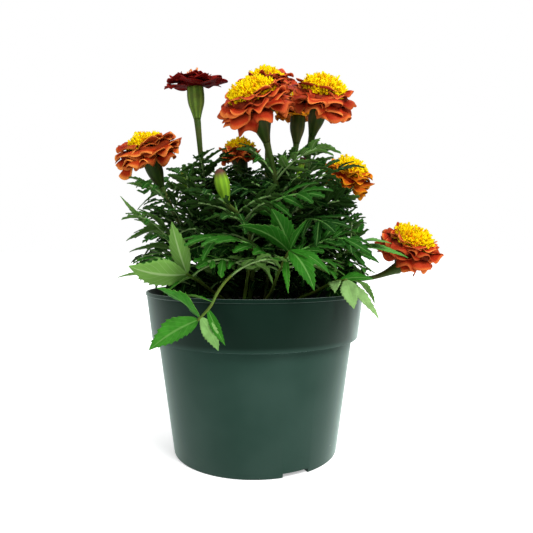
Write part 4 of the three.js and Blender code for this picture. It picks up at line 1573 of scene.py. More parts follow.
@dataclass
class FineLeaf:
    """A feathered leaf of unit length, modelled once: pairs of toothed leaflets, an end one, and the rib.

    A pair of numbers is the least and the most that the dice give.
    """

    pairs: int
    coarse_pairs: int
    form: Form
    rib_form: Form
    seed: int
    width: float = 0.098
    teeth: float = 0.24
    forward: float = 0.05
    lead: float = 0.55
    late: float = 0.02
    first_spread: float = 6.0
    less_spread: float = 5.0
    stray: float = 9.0
    widths: Pair = (0.75, 1.15)
    reaches: Pair = (0.86, 1.08)
    lifts: Pair = (-0.24, 0.3)
    droops: Pair = (0.0, 0.2)
    end_from: float = 0.98
    end_wide: float = 1.15
    end_droop: float = 0.1
    root_share: float = 0.12
    early: float = 0.8
    full: float = 0.85
    sweep: float = 0.1
    cupped: float = 0.28
    wave_along: float = 9.0
    wave_across: float = 14.0
    rib_taper: float = 0.6
    rib_wide: float = 0.9
    rib_high: float = 0.55
    rib_light: float = 0.35

    def __post_init__(self) -> None:
        """Lays the leaflets out flat."""
        dice = Dice(self.seed)
        self.s: list[Array] = []
        self.w: list[Array] = []
        self.h: list[Array] = []
        self.blade: list[Array] = []
        plan = FEATHER
        span = (1 - plan.petiole) * plan.paired
        for i in range(self.pairs):
            share = (i + 1) / self.pairs
            coarse = share * self.coarse_pairs - 1
            reach = plan.leaflet * (1 - plan.shrink * abs(coarse - self.coarse_pairs * plan.longest_at))
            root = plan.petiole + span * (share - self.lead / self.pairs)
            for side in (1, -1):
                late = dice.between(-self.late, self.late)
                stray = dice.between(-self.stray, self.stray)
                spread = plan.spread + self.first_spread - self.less_spread * i + stray
                wide = self.width * dice.between(*self.widths)
                long = reach * dice.between(*self.reaches)
                lift = dice.between(*self.lifts)
                droop = dice.between(*self.droops)
                self.leaflet(root + late, side, spread, long, wide, lift, droop)
        end = span * self.end_from
        wide = self.width * self.end_wide
        self.leaflet(plan.petiole + end, 0, 0.0, 1 - plan.petiole - end, wide, 0.0, self.end_droop)
        count = len(self.s)
        base = self.form
        self.sheet = Form(np.zeros((count * len(base.points), 3)),
                          np.concatenate([base.corners + k * len(base.points) for k in range(count)]),
                          np.tile(base.sizes, count))
        x, t, z = self.rib_form.points.T
        self.rib = (t * (plan.petiole + span), x * (1 - self.rib_taper * t), z)

    def leaflet(self, root: float, side: int, spread: float, reach: float, width: float, lift: float,
                droop: float) -> None:
        """Lays one leaflet out.

        Args:
            root: where on the rib it grows, as a share of the leaf's length.
            side: 1 left, -1 right, 0 at the end.
            spread: its angle to the rib, in degrees.
            reach: its length, as a share of the leaf's length.
            width: its greatest width, the same way.
            lift: how steeply it rises off the leaf's surface.
            droop: how much its end bends back down.
        """
        x, t, z = self.form.points.T
        rim = np.abs(x) > RIM
        tooth = (rows_of(t) % 2 == 1) & rim
        swell = np.sin(math.pi * np.clip(t, 0, 1) ** self.early) ** self.full
        half = width / 2 * mix(self.root_share, 1, swell) * (t < POINTED)
        toothed = half * np.where(tooth, 1 + self.teeth, 1 - self.teeth * rim)
        ahead = reach * t + self.forward * reach * tooth
        angle = spread * DEG
        out = toothed * -x
        curve = self.sweep * reach * t * t
        self.s.append(root + ahead * math.cos(angle) - out * math.sin(angle) + curve * math.sin(angle))
        sideways = ahead * math.sin(angle) + out * math.cos(angle) - curve * math.cos(angle)
        self.w.append(sideways * side if side else out)
        above = self.cupped * np.abs(out) + reach * (lift * t - droop * t * t)
        self.h.append(above - FEATHER.fold * np.abs(self.w[-1]))
        flip = -1 if side == -1 else 1
        self.blade.append(np.stack([x, t, z * flip], axis=1))

    def laid(self, piece: Piece, arch: Arch, tone: float, curl: float) -> None:
        """Lays one leaf on an arch.

        Args:
            piece: the piece it goes to.
            arch: its rib.
            tone: how light it is.
            curl: how much its surface waves.
        """
        length = arch.length
        s = np.concatenate(self.s)
        w = np.concatenate(self.w)
        blade = np.concatenate(self.blade)
        wave = curl * np.sin(self.wave_along * s + self.wave_across * w) * np.abs(w)
        above = LEAF_THICKNESS / 2 * blade[:, 2]
        points = arch.at(s * length, w * length, (np.concatenate(self.h) + wave) * length + above)
        piece.lay(self.sheet, points, blade, tone)
        s, x, z = self.rib
        points = arch.at(s * length, -x * FEATHER.rib_half * self.rib_wide, z * self.rib_high)
        piece.lay(self.rib_form, points, np.stack([0 * x, s, z], axis=1), min(1.0, tone + self.rib_light))


@dataclass
class FineBroad:
    """A broad leaflet, modelled once: a sheet that is given its own width and teeth where it is laid."""

    form: Form
    teeth: float = 0.15
    reach: float = 0.03
    tooth_rows: int = 3
    first_tooth: float = 0.15
    last_tooth: float = 0.92
    pointed: float = 0.35
    pointed_from: float = 0.5
    root_half: float = 0.35
    fold: float = 0.2
    wave: float = 0.1
    waves: float = 11.0

    def laid(self, piece: Piece, leaf: Broad, tone: float) -> None:
        """Lays one leaflet between its two ends.

        Args:
            piece: the piece it goes to.
            leaf: its facts.
            tone: how light it is.
        """
        arch = Arch.of(leaf)
        x, t, z = self.form.points.T
        toothed = (t > self.first_tooth) & (t < self.last_tooth) & (np.abs(x) > RIM)
        tooth = (rows_of(t) % self.tooth_rows == 1) & toothed
        narrowed = 1 - self.pointed * np.clip((t - self.pointed_from) / (1 - self.pointed_from), 0, 1)
        half = BROAD.half(t, leaf.width) * narrowed * (1 + self.teeth * tooth) + self.root_half * (1 - t)
        s = (t + self.reach * tooth) * arch.length
        fold = self.fold * np.abs(x) * half - self.wave * x * x * half * np.sin(self.waves * t)
        points = arch.at(s, -x * half, fold + z * LEAF_THICKNESS / 2)
        piece.lay(self.form, points, np.stack([x, t, -z if leaf.turned else z], axis=1), tone)


@dataclass(frozen=True)
class Shade:
    """How light leaves are painted: painted shade makes them dark deep in the plant, lighter outside, and
    lighter still low in front.
    """

    middle: Spot = (0.0, 0.0, 150.0)
    reach: Spot = (95.0, 88.0, 85.0)
    read_at: float = 0.6
    dark_to: float = 0.5
    fade: float = 0.45
    front_from: float = 20.0
    low_from: float = 185.0
    depth: float = 60.0
    least: float = 0.02
    outside: float = 0.1
    # how much lighter leaves are low in front
    young: float = 0.42
    chance: float = 0.3

    def tone(self, arch: Arch, dice: Dice) -> float:
        """Works out how light a leaf is.

        Args:
            arch: the leaf's rib.
            dice: the dice that vary it.

        Returns:
            Its tone, from 0 to 1.
        """
        place = arch.at(np.array([arch.length * self.read_at]), np.zeros(1), np.zeros(1))[0]
        outer = np.linalg.norm((place - self.middle) / self.reach)
        # painted shade: leaves close to the plant's middle get a low tone, which the leaf finish paints dark
        out_of_shade = np.clip((outer - self.dark_to) / self.fade, 0, 1)
        front = np.clip((-place[1] - self.front_from) / self.depth, 0, 1)
        low = np.clip((self.low_from - place[2]) / self.depth, 0, 1)
        light = self.outside + self.young * front * low + dice.between(0, self.chance)
        return float(np.clip(self.least + out_of_shade * light, 0, 1))


@dataclass
class Foliage:
    """Dresses each shoot: its stem, what the stem carries in green, and its leaves."""

    layout: Layout
    shade: Shade = Shade()
    seed: int = 31
    fine_seed: int = 40
    fine_kinds: int = 4
    small_seed: int = 90
    small_kinds: int = 6
    small_width: float = 0.125
    curl: float = 0.25
    broad_share: float = 0.5
    broad_tone: float = 0.2
    stem_rings: int = 44
    stem_sides: int = 8
    stem_tone: float = 0.24
    stem_along: float = 0.6
    rooted: float = 6.0
    flare: float = 2.65
    flare_power: int = 6
    tip_tone: float = 0.5
    tip_foot: float = 0.75
    tip_radius: float = 0.8
    short_cup: float = 20.0
    short_flare: float = 2.2
    short_from: float = 0.7
    short_length: float = 0.3
    cup_rings: int = 16
    cup_sides: int = 24
    cup_ribs: int = 8
    cup_rib: float = 0.035
    cup_round: float = 0.75
    cup_along: float = 0.85
    # painted shade: cups under blooms are painted dark, the cup under the flat maroon bloom less so
    shaded_cup_tone: float = 0.12
    maroon_cup_tone: float = 0.7
    bud_tone: float = 0.9
    soft: tuple[float, ...] = (0.1, 0.22, 0.36, 0.22, 0.1)
    soft_from: float = 0.1
    soft_to: float = 0.95

    def __post_init__(self) -> None:
        """Models the forms that repeat."""
        blade = sheet_form(across=4, along=10)
        rib = sheet_form(across=2, along=6)
        coarse = sheet_form(across=2, along=8)
        few = FEATHER.pairs
        self.fine = {pairs: [FineLeaf(pairs + 1, pairs, blade, rib, self.fine_seed + 10 * pairs + k)
                             for k in range(self.fine_kinds)] for pairs in (few, few + 1)}
        self.small = [FineLeaf(few, few, coarse, rib, self.small_seed + k, self.small_width)
                      for k in range(self.small_kinds)]
        self.broad = FineBroad(sheet_form(across=8, along=30))
        self.stem = turned_form([(1.0, float(i)) for i in range(self.stem_rings)], self.stem_sides)
        self.cup = turned_form([(1.0, float(i)) for i in range(self.cup_rings)], self.cup_sides)
        self.dice = Dice(self.seed)

    def carried(self, piece: Piece, stem: Stem) -> None:
        """Adds the cup under a bloom, a bud or a spent head.

        Args:
            piece: the piece it goes to.
            stem: the stem that carries it.
        """
        head = stem.shoot.head
        blooms = head.kind is HeadKind.BLOOM
        rings = Layout.CUP_RINGS[head.kind]
        belly = CUP_BELLY if blooms else head.radius
        neck = CUP_NECK if blooms else STEM_RADIUS
        down = [1.0] + [ring[0] for ring in rings]
        wide = [neck / belly] + [ring[1] for ring in rings]
        t = np.linspace(0, 1, self.cup_rings)
        share = np.interp(t, np.linspace(0, 1, len(down)), down)
        radius = belly * np.interp(t, np.linspace(0, 1, len(wide)), wide) ** self.cup_round
        soft = np.convolve(np.pad(radius, len(self.soft) // 2, "edge"), self.soft, "valid")
        radius = np.where((t > self.soft_from) & (t < self.soft_to), soft, radius)
        turn = np.arange(self.cup_sides) / self.cup_sides * 2 * math.pi
        ribs = self.cup_rib * np.cos(self.cup_ribs * turn)[None, :] * np.sin(math.pi * t)[:, None]
        path = stem.top - (head.cup * share)[:, None] * stem.lean
        along = self.cup_along * t if blooms else t
        # painted shade of the bloom over its cup
        cup_shade_tone = self.maroon_cup_tone if head.palette is Palette.MAROON else self.shaded_cup_tone
        tone, finish = (cup_shade_tone, 1) if blooms else (self.bud_tone, 2)
        tube(piece, self.cup, path, radius[:, None] * (1 + ribs), tone, finish, along)

    def stalk(self, piece: Piece, stem: Stem) -> None:
        """Adds the stem, from under the soil to its top.

        Args:
            piece: the piece it goes to.
            stem: the stem.
        """
        t = np.linspace(0, 1, self.stem_rings - 1)
        x, y = stem.shoot.root
        foot = np.array([[x, y, SOIL.height(x, y) - self.rooted]])
        path = np.concatenate([foot, stem.line.at(t)])
        top = self.flare if stem.shoot.head.kind is HeadKind.BLOOM else STEM_RADIUS
        radii = mix(STEM_RADIUS, top, t ** self.flare_power)
        tone = self.stem_tone
        if stem.lean is None:
            radii = np.linspace(self.tip_foot * STEM_RADIUS, self.tip_radius, len(t))
            tone = self.tip_tone
        elif stem.shoot.head.cup < self.short_cup:
            radii += self.short_flare * np.clip((t - self.short_from) / self.short_length, 0, 1) ** 2
        along = np.linspace(0, self.stem_along, self.stem_rings)
        tube(piece, self.stem, path, np.concatenate([[STEM_RADIUS], radii]), tone, 1, along)

    def leaf(self, piece: Piece, kinds: list[FineLeaf], arch: Arch) -> None:
        """Adds a feathered leaf of one of some kinds.

        Args:
            piece: the piece it goes to.
            kinds: the kinds.
            arch: its rib.
        """
        fine = kinds[int(self.dice.between(0, len(kinds)))]
        tone = self.shade.tone(arch, self.dice)
        fine.laid(piece, arch, tone, self.dice.between(-self.curl, self.curl))

    def dress(self, owner: int, finishes: list[Paint]) -> Thing:
        """Makes one shoot.

        Args:
            owner: its number.
            finishes: leaf green, stem green and bud green.

        Returns:
            Its object.
        """
        stem = self.layout.stems[owner]
        piece = Piece("foliage_" + stem.shoot.name)
        self.stalk(piece, stem)
        if stem.lean is not None:
            self.carried(piece, stem)
        for number, arch in self.layout.leaves:
            if number == owner:
                pairs = FEATHER.pairs + (1 if arch.length > FEATHER.more_pairs_from else 0)
                self.leaf(piece, self.fine[pairs], arch)
        for number, arch in self.layout.fillers:
            if number == owner:
                self.leaf(piece, self.small, arch)
        for leaf in stem.shoot.broad:
            tone = self.shade.tone(Arch.of(leaf), self.dice) * self.broad_share + self.broad_tone
            self.broad.laid(piece, leaf, tone + leaf.pale)
        made = piece.build(finishes)
        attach(made, "root")
        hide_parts("shoot_" + stem.shoot.name)
        return made


@dataclass(frozen=True)
class Layer:
    """One ring of petals: how many, their reach beside the bloom's, and how they rise, droop and stand."""

    count: int
    size: float
    rise: float
    droop: float
    height: float


LAYERS = (
    Layer(9, 1.02, 0.18, 0.30, 0.9),
    Layer(9, 1.09, 0.33, 0.34, 1.8),
    Layer(8, 1.07, 0.50, 0.38, 2.7),
    Layer(8, 0.99, 0.68, 0.42, 3.4),
    Layer(7, 0.88, 0.88, 0.48, 4.0),
    Layer(7, 0.77, 1.05, 0.58, 4.5),
)
INNER_LAYER = Layer(7, 0.62, 1.3, 0.7, 4.6)
FLAT_LAYERS = (
    Layer(8, 1.08, 0.04, -0.06, 0.2),
    Layer(8, 1.04, 0.20, 0.02, 1.6),
    Layer(7, 0.90, 0.44, 0.16, 2.8),
    Layer(6, 0.62, 0.78, 0.30, 3.6),
)


@dataclass(frozen=True)
class PetalPlan:
    """How petals are shaped. A pair of numbers is the least and the most that the dice give."""

    thickness: float = 0.3
    root: float = 3.6
    stray: float = 0.5
    lengths: Pair = (0.88, 1.03)
    waves: Pair = (0.8, 1.5)
    lobes: Pair = (0.5, 0.95)
    swings: Pair = (1.0, 2.2)
    curls: Pair = (-1.6, 3.6)
    end_from: float = 0.66
    end_length: float = 0.34
    end_narrow: float = 0.3
    overlap: float = 1.38
    root_wide: float = 0.28
    widening: float = 1.35
    skew: float = 0.3
    sway: float = 0.04
    rounding: float = 0.17
    end_rounding: float = 0.1
    roundness: float = 2.2
    notches: float = 0.06
    lift: float = 0.4
    least_swing: float = 0.4
    dark_loose: float = 0.4
    roll: float = 3.0
    cup: float = 2.2
    cup_back: float = 1.5


@dataclass(frozen=True)
class HeartPlan:
    """The dense middle that petals grow from, painted in the petals' dark root colour as painted shade
    between the layers: how wide, tall and high it is, its waves, and its finish.
    """

    wide: float = 1.0
    tall: float = 1.0
    lift: float = 0.0
    folds: int = 7
    fold: float = 0.07
    pleats: int = 12
    pleat: float = 0.04
    humps: int = 5
    hump: float = 0.12
    # where along a petal's colours the middle reads, which gives it the dark painted shade of the petal
    # roots
    depth: float = 0.22
    tone: float = 0.3


@dataclass(frozen=True)
class CrestPlan:
    """How a crest is shaped: its dome, the core under it, and how its florets stand.

    A pair of numbers is the least and the most that the dice give.
    """

    floor: float = 4.5
    tall: float = 0.62
    lift: float = 0.2
    florets: int = 260
    usual_share: float = 0.55
    usual_radius: float = 25.0
    spacing: float = 2.399963
    reach_down: float = 1.15
    core: float = 0.86
    core_rise: float = 0.5
    core_lift: float = 0.55
    upright: float = 0.05
    tilt: float = 0.4
    heights: Pair = (-1.4, 1.3)
    sizes: Pair = (0.75, 1.3)
    stretches: Pair = (1.0, 1.6)
    dark_florets: int = 26
    dark_dome: Spot = (4.5, 4.0, 1.0)
    dark_size: float = 0.8


PETAL = PetalPlan()
HEARTS = {False: HeartPlan(), True: HeartPlan(wide=0.75, tall=0.45, lift=-0.6)}
CREST = CrestPlan()


@dataclass
class Bloom:
    """One bloom: ruffled petals in layers and a crest of florets, laid round its own upright axis."""

    stem: Stem
    petal: Form
    floret: Form
    core: Form
    heart: Form
    seed: int
    crest_seed: int = 50
    inner_below: float = 0.5

    @property
    def loose(self) -> float:
        """Returns how far the petals wave, curl and hang beside the usual."""
        return PETAL.dark_loose if self.dark else 1.0

    @property
    def dark(self) -> bool:
        """Says whether this is the flat maroon bloom."""
        return self.stem.shoot.head.palette is Palette.MAROON

    def placed(self, points: Array) -> Array:
        """Returns points of the bloom's own frame moved to where it stands."""
        turn = Vector((0, 0, 1)).rotation_difference(Vector(self.stem.lean)).to_matrix()
        return points @ np.array(turn).T + self.stem.top

    def petal_surface(self, u: Array, t: Array, layer: Layer, mid: float, draw: list[float]) -> Array:
        """Gives places on one petal.

        Args:
            u: shares of its half width, from -1 to 1.
            t: shares of its length.
            layer: its layer.
            mid: its middle's direction, in radians.
            draw: its own random numbers from 0 to 1.

        Returns:
            One point for each, in the bloom's frame.
        """
        plan = PETAL
        length, phase, ruffle, curl, twist, lift = draw
        reach = (layer.size * self.stem.shoot.head.radius - plan.root) * mix(*plan.lengths, length)
        wave = np.sin(math.pi * u * mix(*plan.waves, ruffle) + ABOUT_ROUND * phase)
        lobes = np.abs(np.sin(math.pi * (u * mix(*plan.lobes, ruffle) + phase)))
        end = np.clip((t - plan.end_from) / plan.end_length, 0, 1)
        opened = np.sin(np.minimum(1, plan.widening * t) * math.pi / 2)
        wide = math.pi / layer.count * plan.overlap * mix(plan.root_wide, 1, opened)
        angle = mid + wide * (1 - plan.end_narrow * end ** 3) * u
        angle = angle + plan.skew * (twist - 0.5) * t + plan.sway * wave * t * t
        shape = 1 - (plan.rounding + plan.end_rounding * end) * np.abs(u) ** plan.roundness
        r = plan.root + reach * t * (shape - plan.notches * end * (1 - lobes))
        rise = layer.rise + plan.lift * self.loose * (lift - 0.5)
        z = layer.height + reach * (rise * t - layer.droop * t * t)
        z = z + mix(plan.least_swing, 1, self.loose) * t ** 3 * mix(*plan.swings, ruffle) * wave
        z = z + plan.roll * (twist - 0.5) * u * t
        z = z - self.loose * mix(*plan.curls, curl) * end ** 2 * mix(0.5, 1, lobes)
        z = z + plan.cup * np.abs(u) ** 2 * t * (1 - plan.cup_back * t)
        return np.stack([r * np.cos(angle), r * np.sin(angle), z], axis=1)

    def heart_points(self) -> Array:
        """Lays the dense middle.

        Returns:
            Its points, in the bloom's frame.
        """
        size = self.stem.shoot.head.radius
        plan = HEARTS[self.dark]
        x, y, z = self.heart.points.T
        turn = np.arctan2(y, x)
        wave = 1 + plan.fold * np.sin(plan.folds * turn + self.seed)
        wave = wave + plan.pleat * np.sin(plan.pleats * turn)
        high = 1 + plan.hump * np.sin(plan.humps * turn + 2 * self.seed)
        x, y = x * wave * plan.wide * size, y * wave * plan.wide * size
        return np.stack([x, y, z * high * plan.tall * size + plan.lift], axis=1)

    def petals(self, finish: Paint) -> Thing:
        """Makes the petals and the dense middle they grow from.

        Args:
            finish: their material.

        Returns:
            Their object.
        """
        name = self.stem.shoot.name
        piece = Piece("bloom_petals_" + name)
        dice = Dice(self.seed)
        x, t, z = self.petal.points.T
        blade = np.stack([x, t, z], axis=1)
        step = 1e-3
        layers = FLAT_LAYERS if self.dark else LAYERS
        if self.stem.shoot.head.crest < self.inner_below:
            layers += (INNER_LAYER,)
        for number, layer in enumerate(layers):
            for i in range(layer.count):
                turn = i + 0.5 * (number % 2) + PETAL.stray * (dice.throw() - 0.5)
                mid = turn * 2 * math.pi / layer.count
                draw = [dice.throw() for _ in range(6)]
                place = self.petal_surface(-x, t, layer, mid, draw)
                over = self.petal_surface(-x, t + step, layer, mid, draw) - place
                across = self.petal_surface(-x + step, t, layer, mid, draw) - place
                normal = np.cross(over, across)
                normal /= np.linalg.norm(normal, axis=1)[:, None]
                points = place + z[:, None] * PETAL.thickness / 2 * normal
                piece.lay(self.petal, self.placed(points), blade, dice.throw())
        # painted shade: the dense middle is a dark body in the petals' root colour, filling the gaps between
        # layers
        plan = HEARTS[self.dark]
        heart = self.heart_points()
        blade = np.tile([0.0, plan.depth, 1.0], (len(heart), 1))
        piece.lay(self.heart, self.placed(heart), blade, plan.tone)
        made = piece.build([finish])
        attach(made, "root")
        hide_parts("petals_" + name)
        return made

    def crest(self, finish: Paint) -> Thing:
        """Makes the crest of florets.

        Args:
            finish: its material.

        Returns:
            Its object.
        """
        name = self.stem.shoot.name
        piece = Piece("bloom_crest_" + name)
        dice = Dice(self.seed + self.crest_seed)
        plan = CREST
        size = self.stem.shoot.head.radius
        share = self.stem.shoot.head.crest
        radius, tall, lift = share * size, plan.tall * share * size, plan.lift * size
        count = int(plan.florets * (share / plan.usual_share * size / plan.usual_radius) ** 2)
        if self.dark:
            radius, tall, lift = plan.dark_dome
            count = plan.dark_florets
        wide = plan.core * radius
        core = self.core.points * (wide, wide, plan.core * tall + plan.core_rise * lift)
        core[:, 2] += plan.floor + lift * plan.core_lift
        piece.lay(self.core, self.placed(core), np.zeros((len(core), 3)))
        heights = self.floret.points[:, 2]
        along = (heights - heights.min()) / np.ptp(heights)
        blade = np.stack([0 * along, along, np.ones_like(along)], axis=1)
        for i in range(count):
            high = 1 - (i + 0.5) / count * plan.reach_down
            level = math.sqrt(max(0, 1 - high * high))
            turn = i * plan.spacing
            out = Vector((math.cos(turn) * level, math.sin(turn) * level, high))
            spot = np.array([out.x * radius, out.y * radius, plan.floor + lift + tall * out.z])
            lean = Vector((out.x / radius, out.y / radius, out.z / tall + plan.upright)).normalized()
            spot = spot + np.array(lean) * dice.between(*plan.heights)
            spin = Matrix.Rotation(dice.between(0, ABOUT_ROUND), 3, "Z")
            tilt = Vector((dice.between(-plan.tilt, plan.tilt), dice.between(-plan.tilt, plan.tilt), 1))
            turned = tilt.rotation_difference(lean).to_matrix() @ spin
            grown = dice.between(*plan.sizes) * (plan.dark_size if self.dark else 1.0)
            shaped = self.floret.points * (grown, grown, grown * dice.between(*plan.stretches))
            points = shaped @ np.array(turned).T + spot
            piece.lay(self.floret, self.placed(points), blade, dice.throw())
        made = piece.build([finish])
        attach(made, "root")
        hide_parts("crest_" + name)
        return made


def heart_form() -> Form:
    """Models the dense middle of a bloom.

    Returns:
        Its form, its radius and heights as shares of the bloom's radius.
    """
    under = [(0.15, 0.04), (0.45, 0.07), (0.64, 0.1), (0.72, 0.18)]
    over = [(0.72, 0.28), (0.64, 0.36), (0.5, 0.36), (0.2, 0.32)]
    return turned_form(under + over, sides=42)


def floret_form() -> Form:
    """Models a single floret: a slim tube that opens into a frilled mouth.

    Returns:
        Its form, in millimetres.
    """
    rings = [(0.35, -3.0), (0.4, -0.6), (0.62, 0.8), (1.05, 1.8), (0.55, 1.2), (0.2, 0.2)]
    sides = 10
    mouth_ring = 3
    lobe_out, lobe_in = 0.3, 0.18
    lobe_up, lobe_down = 0.9, 0.35
    form = turned_form([(1.0, float(i)) for i in range(len(rings))], sides)
    order = ring_order(form, len(rings))
    ring, side = order // sides, order % sides
    turn = side / sides * 2 * math.pi
    radius = np.array([r for r, _ in rings])[ring]
    height = np.array([z for _, z in rings])[ring]
    mouth = (ring == mouth_ring) * 1.0
    lobed = (side % 2 == 0) * 1.0
    radius = radius * (1 + mouth * (lobe_out * lobed - lobe_in))
    height = height + mouth * (lobe_up * lobed - lobe_down)
    points = np.stack([radius * np.cos(turn), radius * np.sin(turn), height], axis=1)
    return Form(points, form.corners, form.sizes)


# Pot and soil


@dataclass
class Pot:
    """The pot: a smoothly turned shell with a rim band, a foot ring and drain notches."""

    sides: int = 144
    round: float = 0.7
    near: float = 0.2
    far: float = 0.3
    foot: float = 0.25
    centre: float = 0.001
    recess: float = 1.0
    recess_radius: float = 40.0
    foot_inner: float = 42.0
    band_out: float = 0.1
    lip_out: float = 0.6
    lip_from: float = 2.6
    lip_to: float = 2.2
    notch_past: float = 1.0
    sharp: float = 35.0

    def profile(self) -> list[Pair]:
        """Gives the shell's outline.

        Returns:
            Radius and height of each corner, from the underside's middle round to the floor's.
        """
        p, r = POT, self.round
        inner = p.rim_radius - p.wall
        return [
            (self.centre, self.recess), (self.recess_radius, self.recess), (self.foot_inner, 0.0),
            (p.base_radius - r, 0.0), (p.base_radius - self.foot * r, self.foot * r), (p.base_radius, r),
            (p.body_top_radius, p.band_bottom), (p.band_radius - r, p.band_bottom),
            (p.band_radius - self.near * r, p.band_bottom + self.near * r),
            (p.band_radius + self.band_out, p.band_bottom + r),
            (p.rim_radius - self.lip_out, p.height - self.lip_from), (p.rim_radius, p.height - self.lip_to),
            (p.rim_radius, p.height - r), (p.rim_radius - self.far * r, p.height - self.near * r),
            (p.rim_radius - p.wall / 2, p.height), (inner + self.far * r, p.height - self.near * r),
            (inner, p.height - r), (p.band_radius - p.wall, p.band_bottom + p.wall),
            (p.body_top_radius - p.wall, p.band_bottom - p.wall), (p.base_radius - p.wall, p.floor),
            (self.centre, p.floor),
        ]

    def dress(self, finish: Paint) -> Thing:
        """Makes the pot.

        Args:
            finish: its material.

        Returns:
            Its object.
        """
        alone()
        bpy.ops.mesh.primitive_plane_add(size=1, location=(0, 0, 0))
        pot = bpy.context.object
        pot.name = "nursery_pot"
        bpy.ops.object.mode_set(mode="EDIT")
        bpy.ops.mesh.merge(type="CENTER")
        outline = self.profile()
        radius, height = outline[0]
        bpy.ops.transform.translate(value=(radius * MM, 0, height * MM))
        for radius_to, height_to in outline[1:]:
            way = ((radius_to - radius) * MM, 0, (height_to - height) * MM)
            bpy.ops.mesh.extrude_region_move(TRANSFORM_OT_translate={"value": way})
            radius, height = radius_to, height_to
        bpy.ops.mesh.select_all(action="SELECT")
        bpy.ops.mesh.spin(steps=self.sides, angle=2 * math.pi, center=(0, 0, 0), axis=(0, 0, 1))
        bpy.ops.mesh.select_all(action="SELECT")
        bpy.ops.mesh.remove_doubles(threshold=2e-5)
        bpy.ops.mesh.normals_make_consistent(inside=False)
        bpy.ops.object.mode_set(mode="OBJECT")
        for i in range(POT.notches):
            self.notch(pot, POT.first_notch + 360 / POT.notches * i)
        for polygon in pot.data.polygons:
            polygon.use_smooth = True
        alone()
        pot.select_set(True)
        bpy.context.view_layer.objects.active = pot
        bpy.ops.object.shade_smooth_by_angle(angle=self.sharp * DEG)
        pot.data.materials.clear()
        pot.data.materials.append(finish)
        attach(pot, "root")
        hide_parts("pot")
        return pot

    def notch(self, pot: Thing, angle: float) -> None:
        """Cuts one drain notch out of the pot's foot.

        Args:
            pot: the pot's object.
            angle: where round the pot, in degrees.
        """
        alone()
        out = (POT.base_radius + self.notch_past - POT.notch_depth / 2) * MM
        place = (out * math.cos(angle * DEG), out * math.sin(angle * DEG), 0)
        bpy.ops.mesh.primitive_cube_add(size=1, location=place, rotation=(0, 0, angle * DEG))
        cutter = bpy.context.object
        cutter.scale = (POT.notch_depth * MM, POT.notch_width * MM, 2 * POT.notch_height * MM)
        alone()
        pot.select_set(True)
        bpy.context.view_layer.objects.active = pot
        cut = pot.modifiers.new("Notch", "BOOLEAN")
        cut.object = cutter
        cut.operation = "DIFFERENCE"
        bpy.ops.object.modifier_apply(modifier=cut.name)
        bpy.data.objects.remove(cutter)


@dataclass
class Soil:
    """The soil: a crumbled disc that fills the pot below its rim, with loose crumbs on it."""

    radius: float = 76.5
    depth: float = 12.0
    taper: float = 3.0
    rings: int = 26
    sides: int = 64
    twist: float = 0.05
    hole: float = 0.02
    rough: float = 0.55
    crumbs: int = 420
    crumb_reach: float = 0.97
    crumb_rise: float = 0.4
    crumb_sizes: tuple[Pair, ...] = ((0.5, 1.9), (0.4, 1.1), (0.3, 0.8))
    seed: int = 9

    def uneven(self, x: Array, y: Array) -> Array:
        """Returns how uneven the soil's top is at places, from about -1.6 to 1.6: lumps and finer ridges."""
        lumps = np.sin(x * 0.9 + 2 * np.sin(y * 0.7)) * np.cos(y * 0.8)
        return lumps + 0.6 * np.sin(2.3 * x + 1.7 * y)

    def dress(self, finish: Paint) -> Thing:
        """Makes the soil.

        Args:
            finish: its material.

        Returns:
            Its object.
        """
        rings = [(1.0, float(i)) for i in range(self.rings + 2)]
        form = turned_form(rings, self.sides)
        order = ring_order(form, len(rings))
        ring, side = order // self.sides, order % self.sides
        top = self.radius * (1 - (ring - 1) / self.rings) + self.hole
        out = np.where(ring == 0, self.radius - self.taper, top)
        turn = side / self.sides * 2 * math.pi + self.twist * ring
        x, y = out * np.cos(turn), out * np.sin(turn)
        z = SOIL.top + SOIL.mound * np.maximum(0, 1 - out / SOIL.mound_radius)
        z = np.where(ring == 0, z - self.depth, z + self.rough * self.uneven(x, y) * (ring > 1))
        piece = Piece("potting_mix")
        piece.lay(form, np.stack([x, y, z], axis=1), np.zeros((len(x), 3)))
        alone()
        bpy.ops.mesh.primitive_ico_sphere_add(subdivisions=1, radius=1.0)
        crumb = Form.taken(bpy.context.object)
        flat = np.zeros((len(crumb.points), 3))
        dice = Dice(self.seed)
        for _ in range(self.crumbs):
            turn = dice.between(0, 2 * math.pi)
            out = self.radius * math.sqrt(dice.throw()) * self.crumb_reach
            x, y = out * math.cos(turn), out * math.sin(turn)
            size = np.array([dice.between(*span) for span in self.crumb_sizes])
            spin = np.array(Matrix.Rotation(dice.between(0, math.pi), 3, "Z"))
            place = np.array([x, y, SOIL.height(x, y) + self.crumb_rise])
            piece.lay(crumb, crumb.points * size @ spin.T + place, flat)
        made = piece.build([finish])
        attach(made, "root")
        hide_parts("soil")
        return made


# Stage


@dataclass(frozen=True)
class Lamp:
    """A soft round lamp: its name, where it hangs and its width in metres, and its power in watts."""

    name: str
    place: Spot
    width: float
    power: float


LAMPS = (
    Lamp("Key", (0.5, -0.7, 0.95), 0.6, 15.0),
    Lamp("Fill", (-0.8, -0.6, 0.5), 0.9, 3.0),
    Lamp("Top", (0.0, 0.3, 1.2), 0.9, 7.0),
)


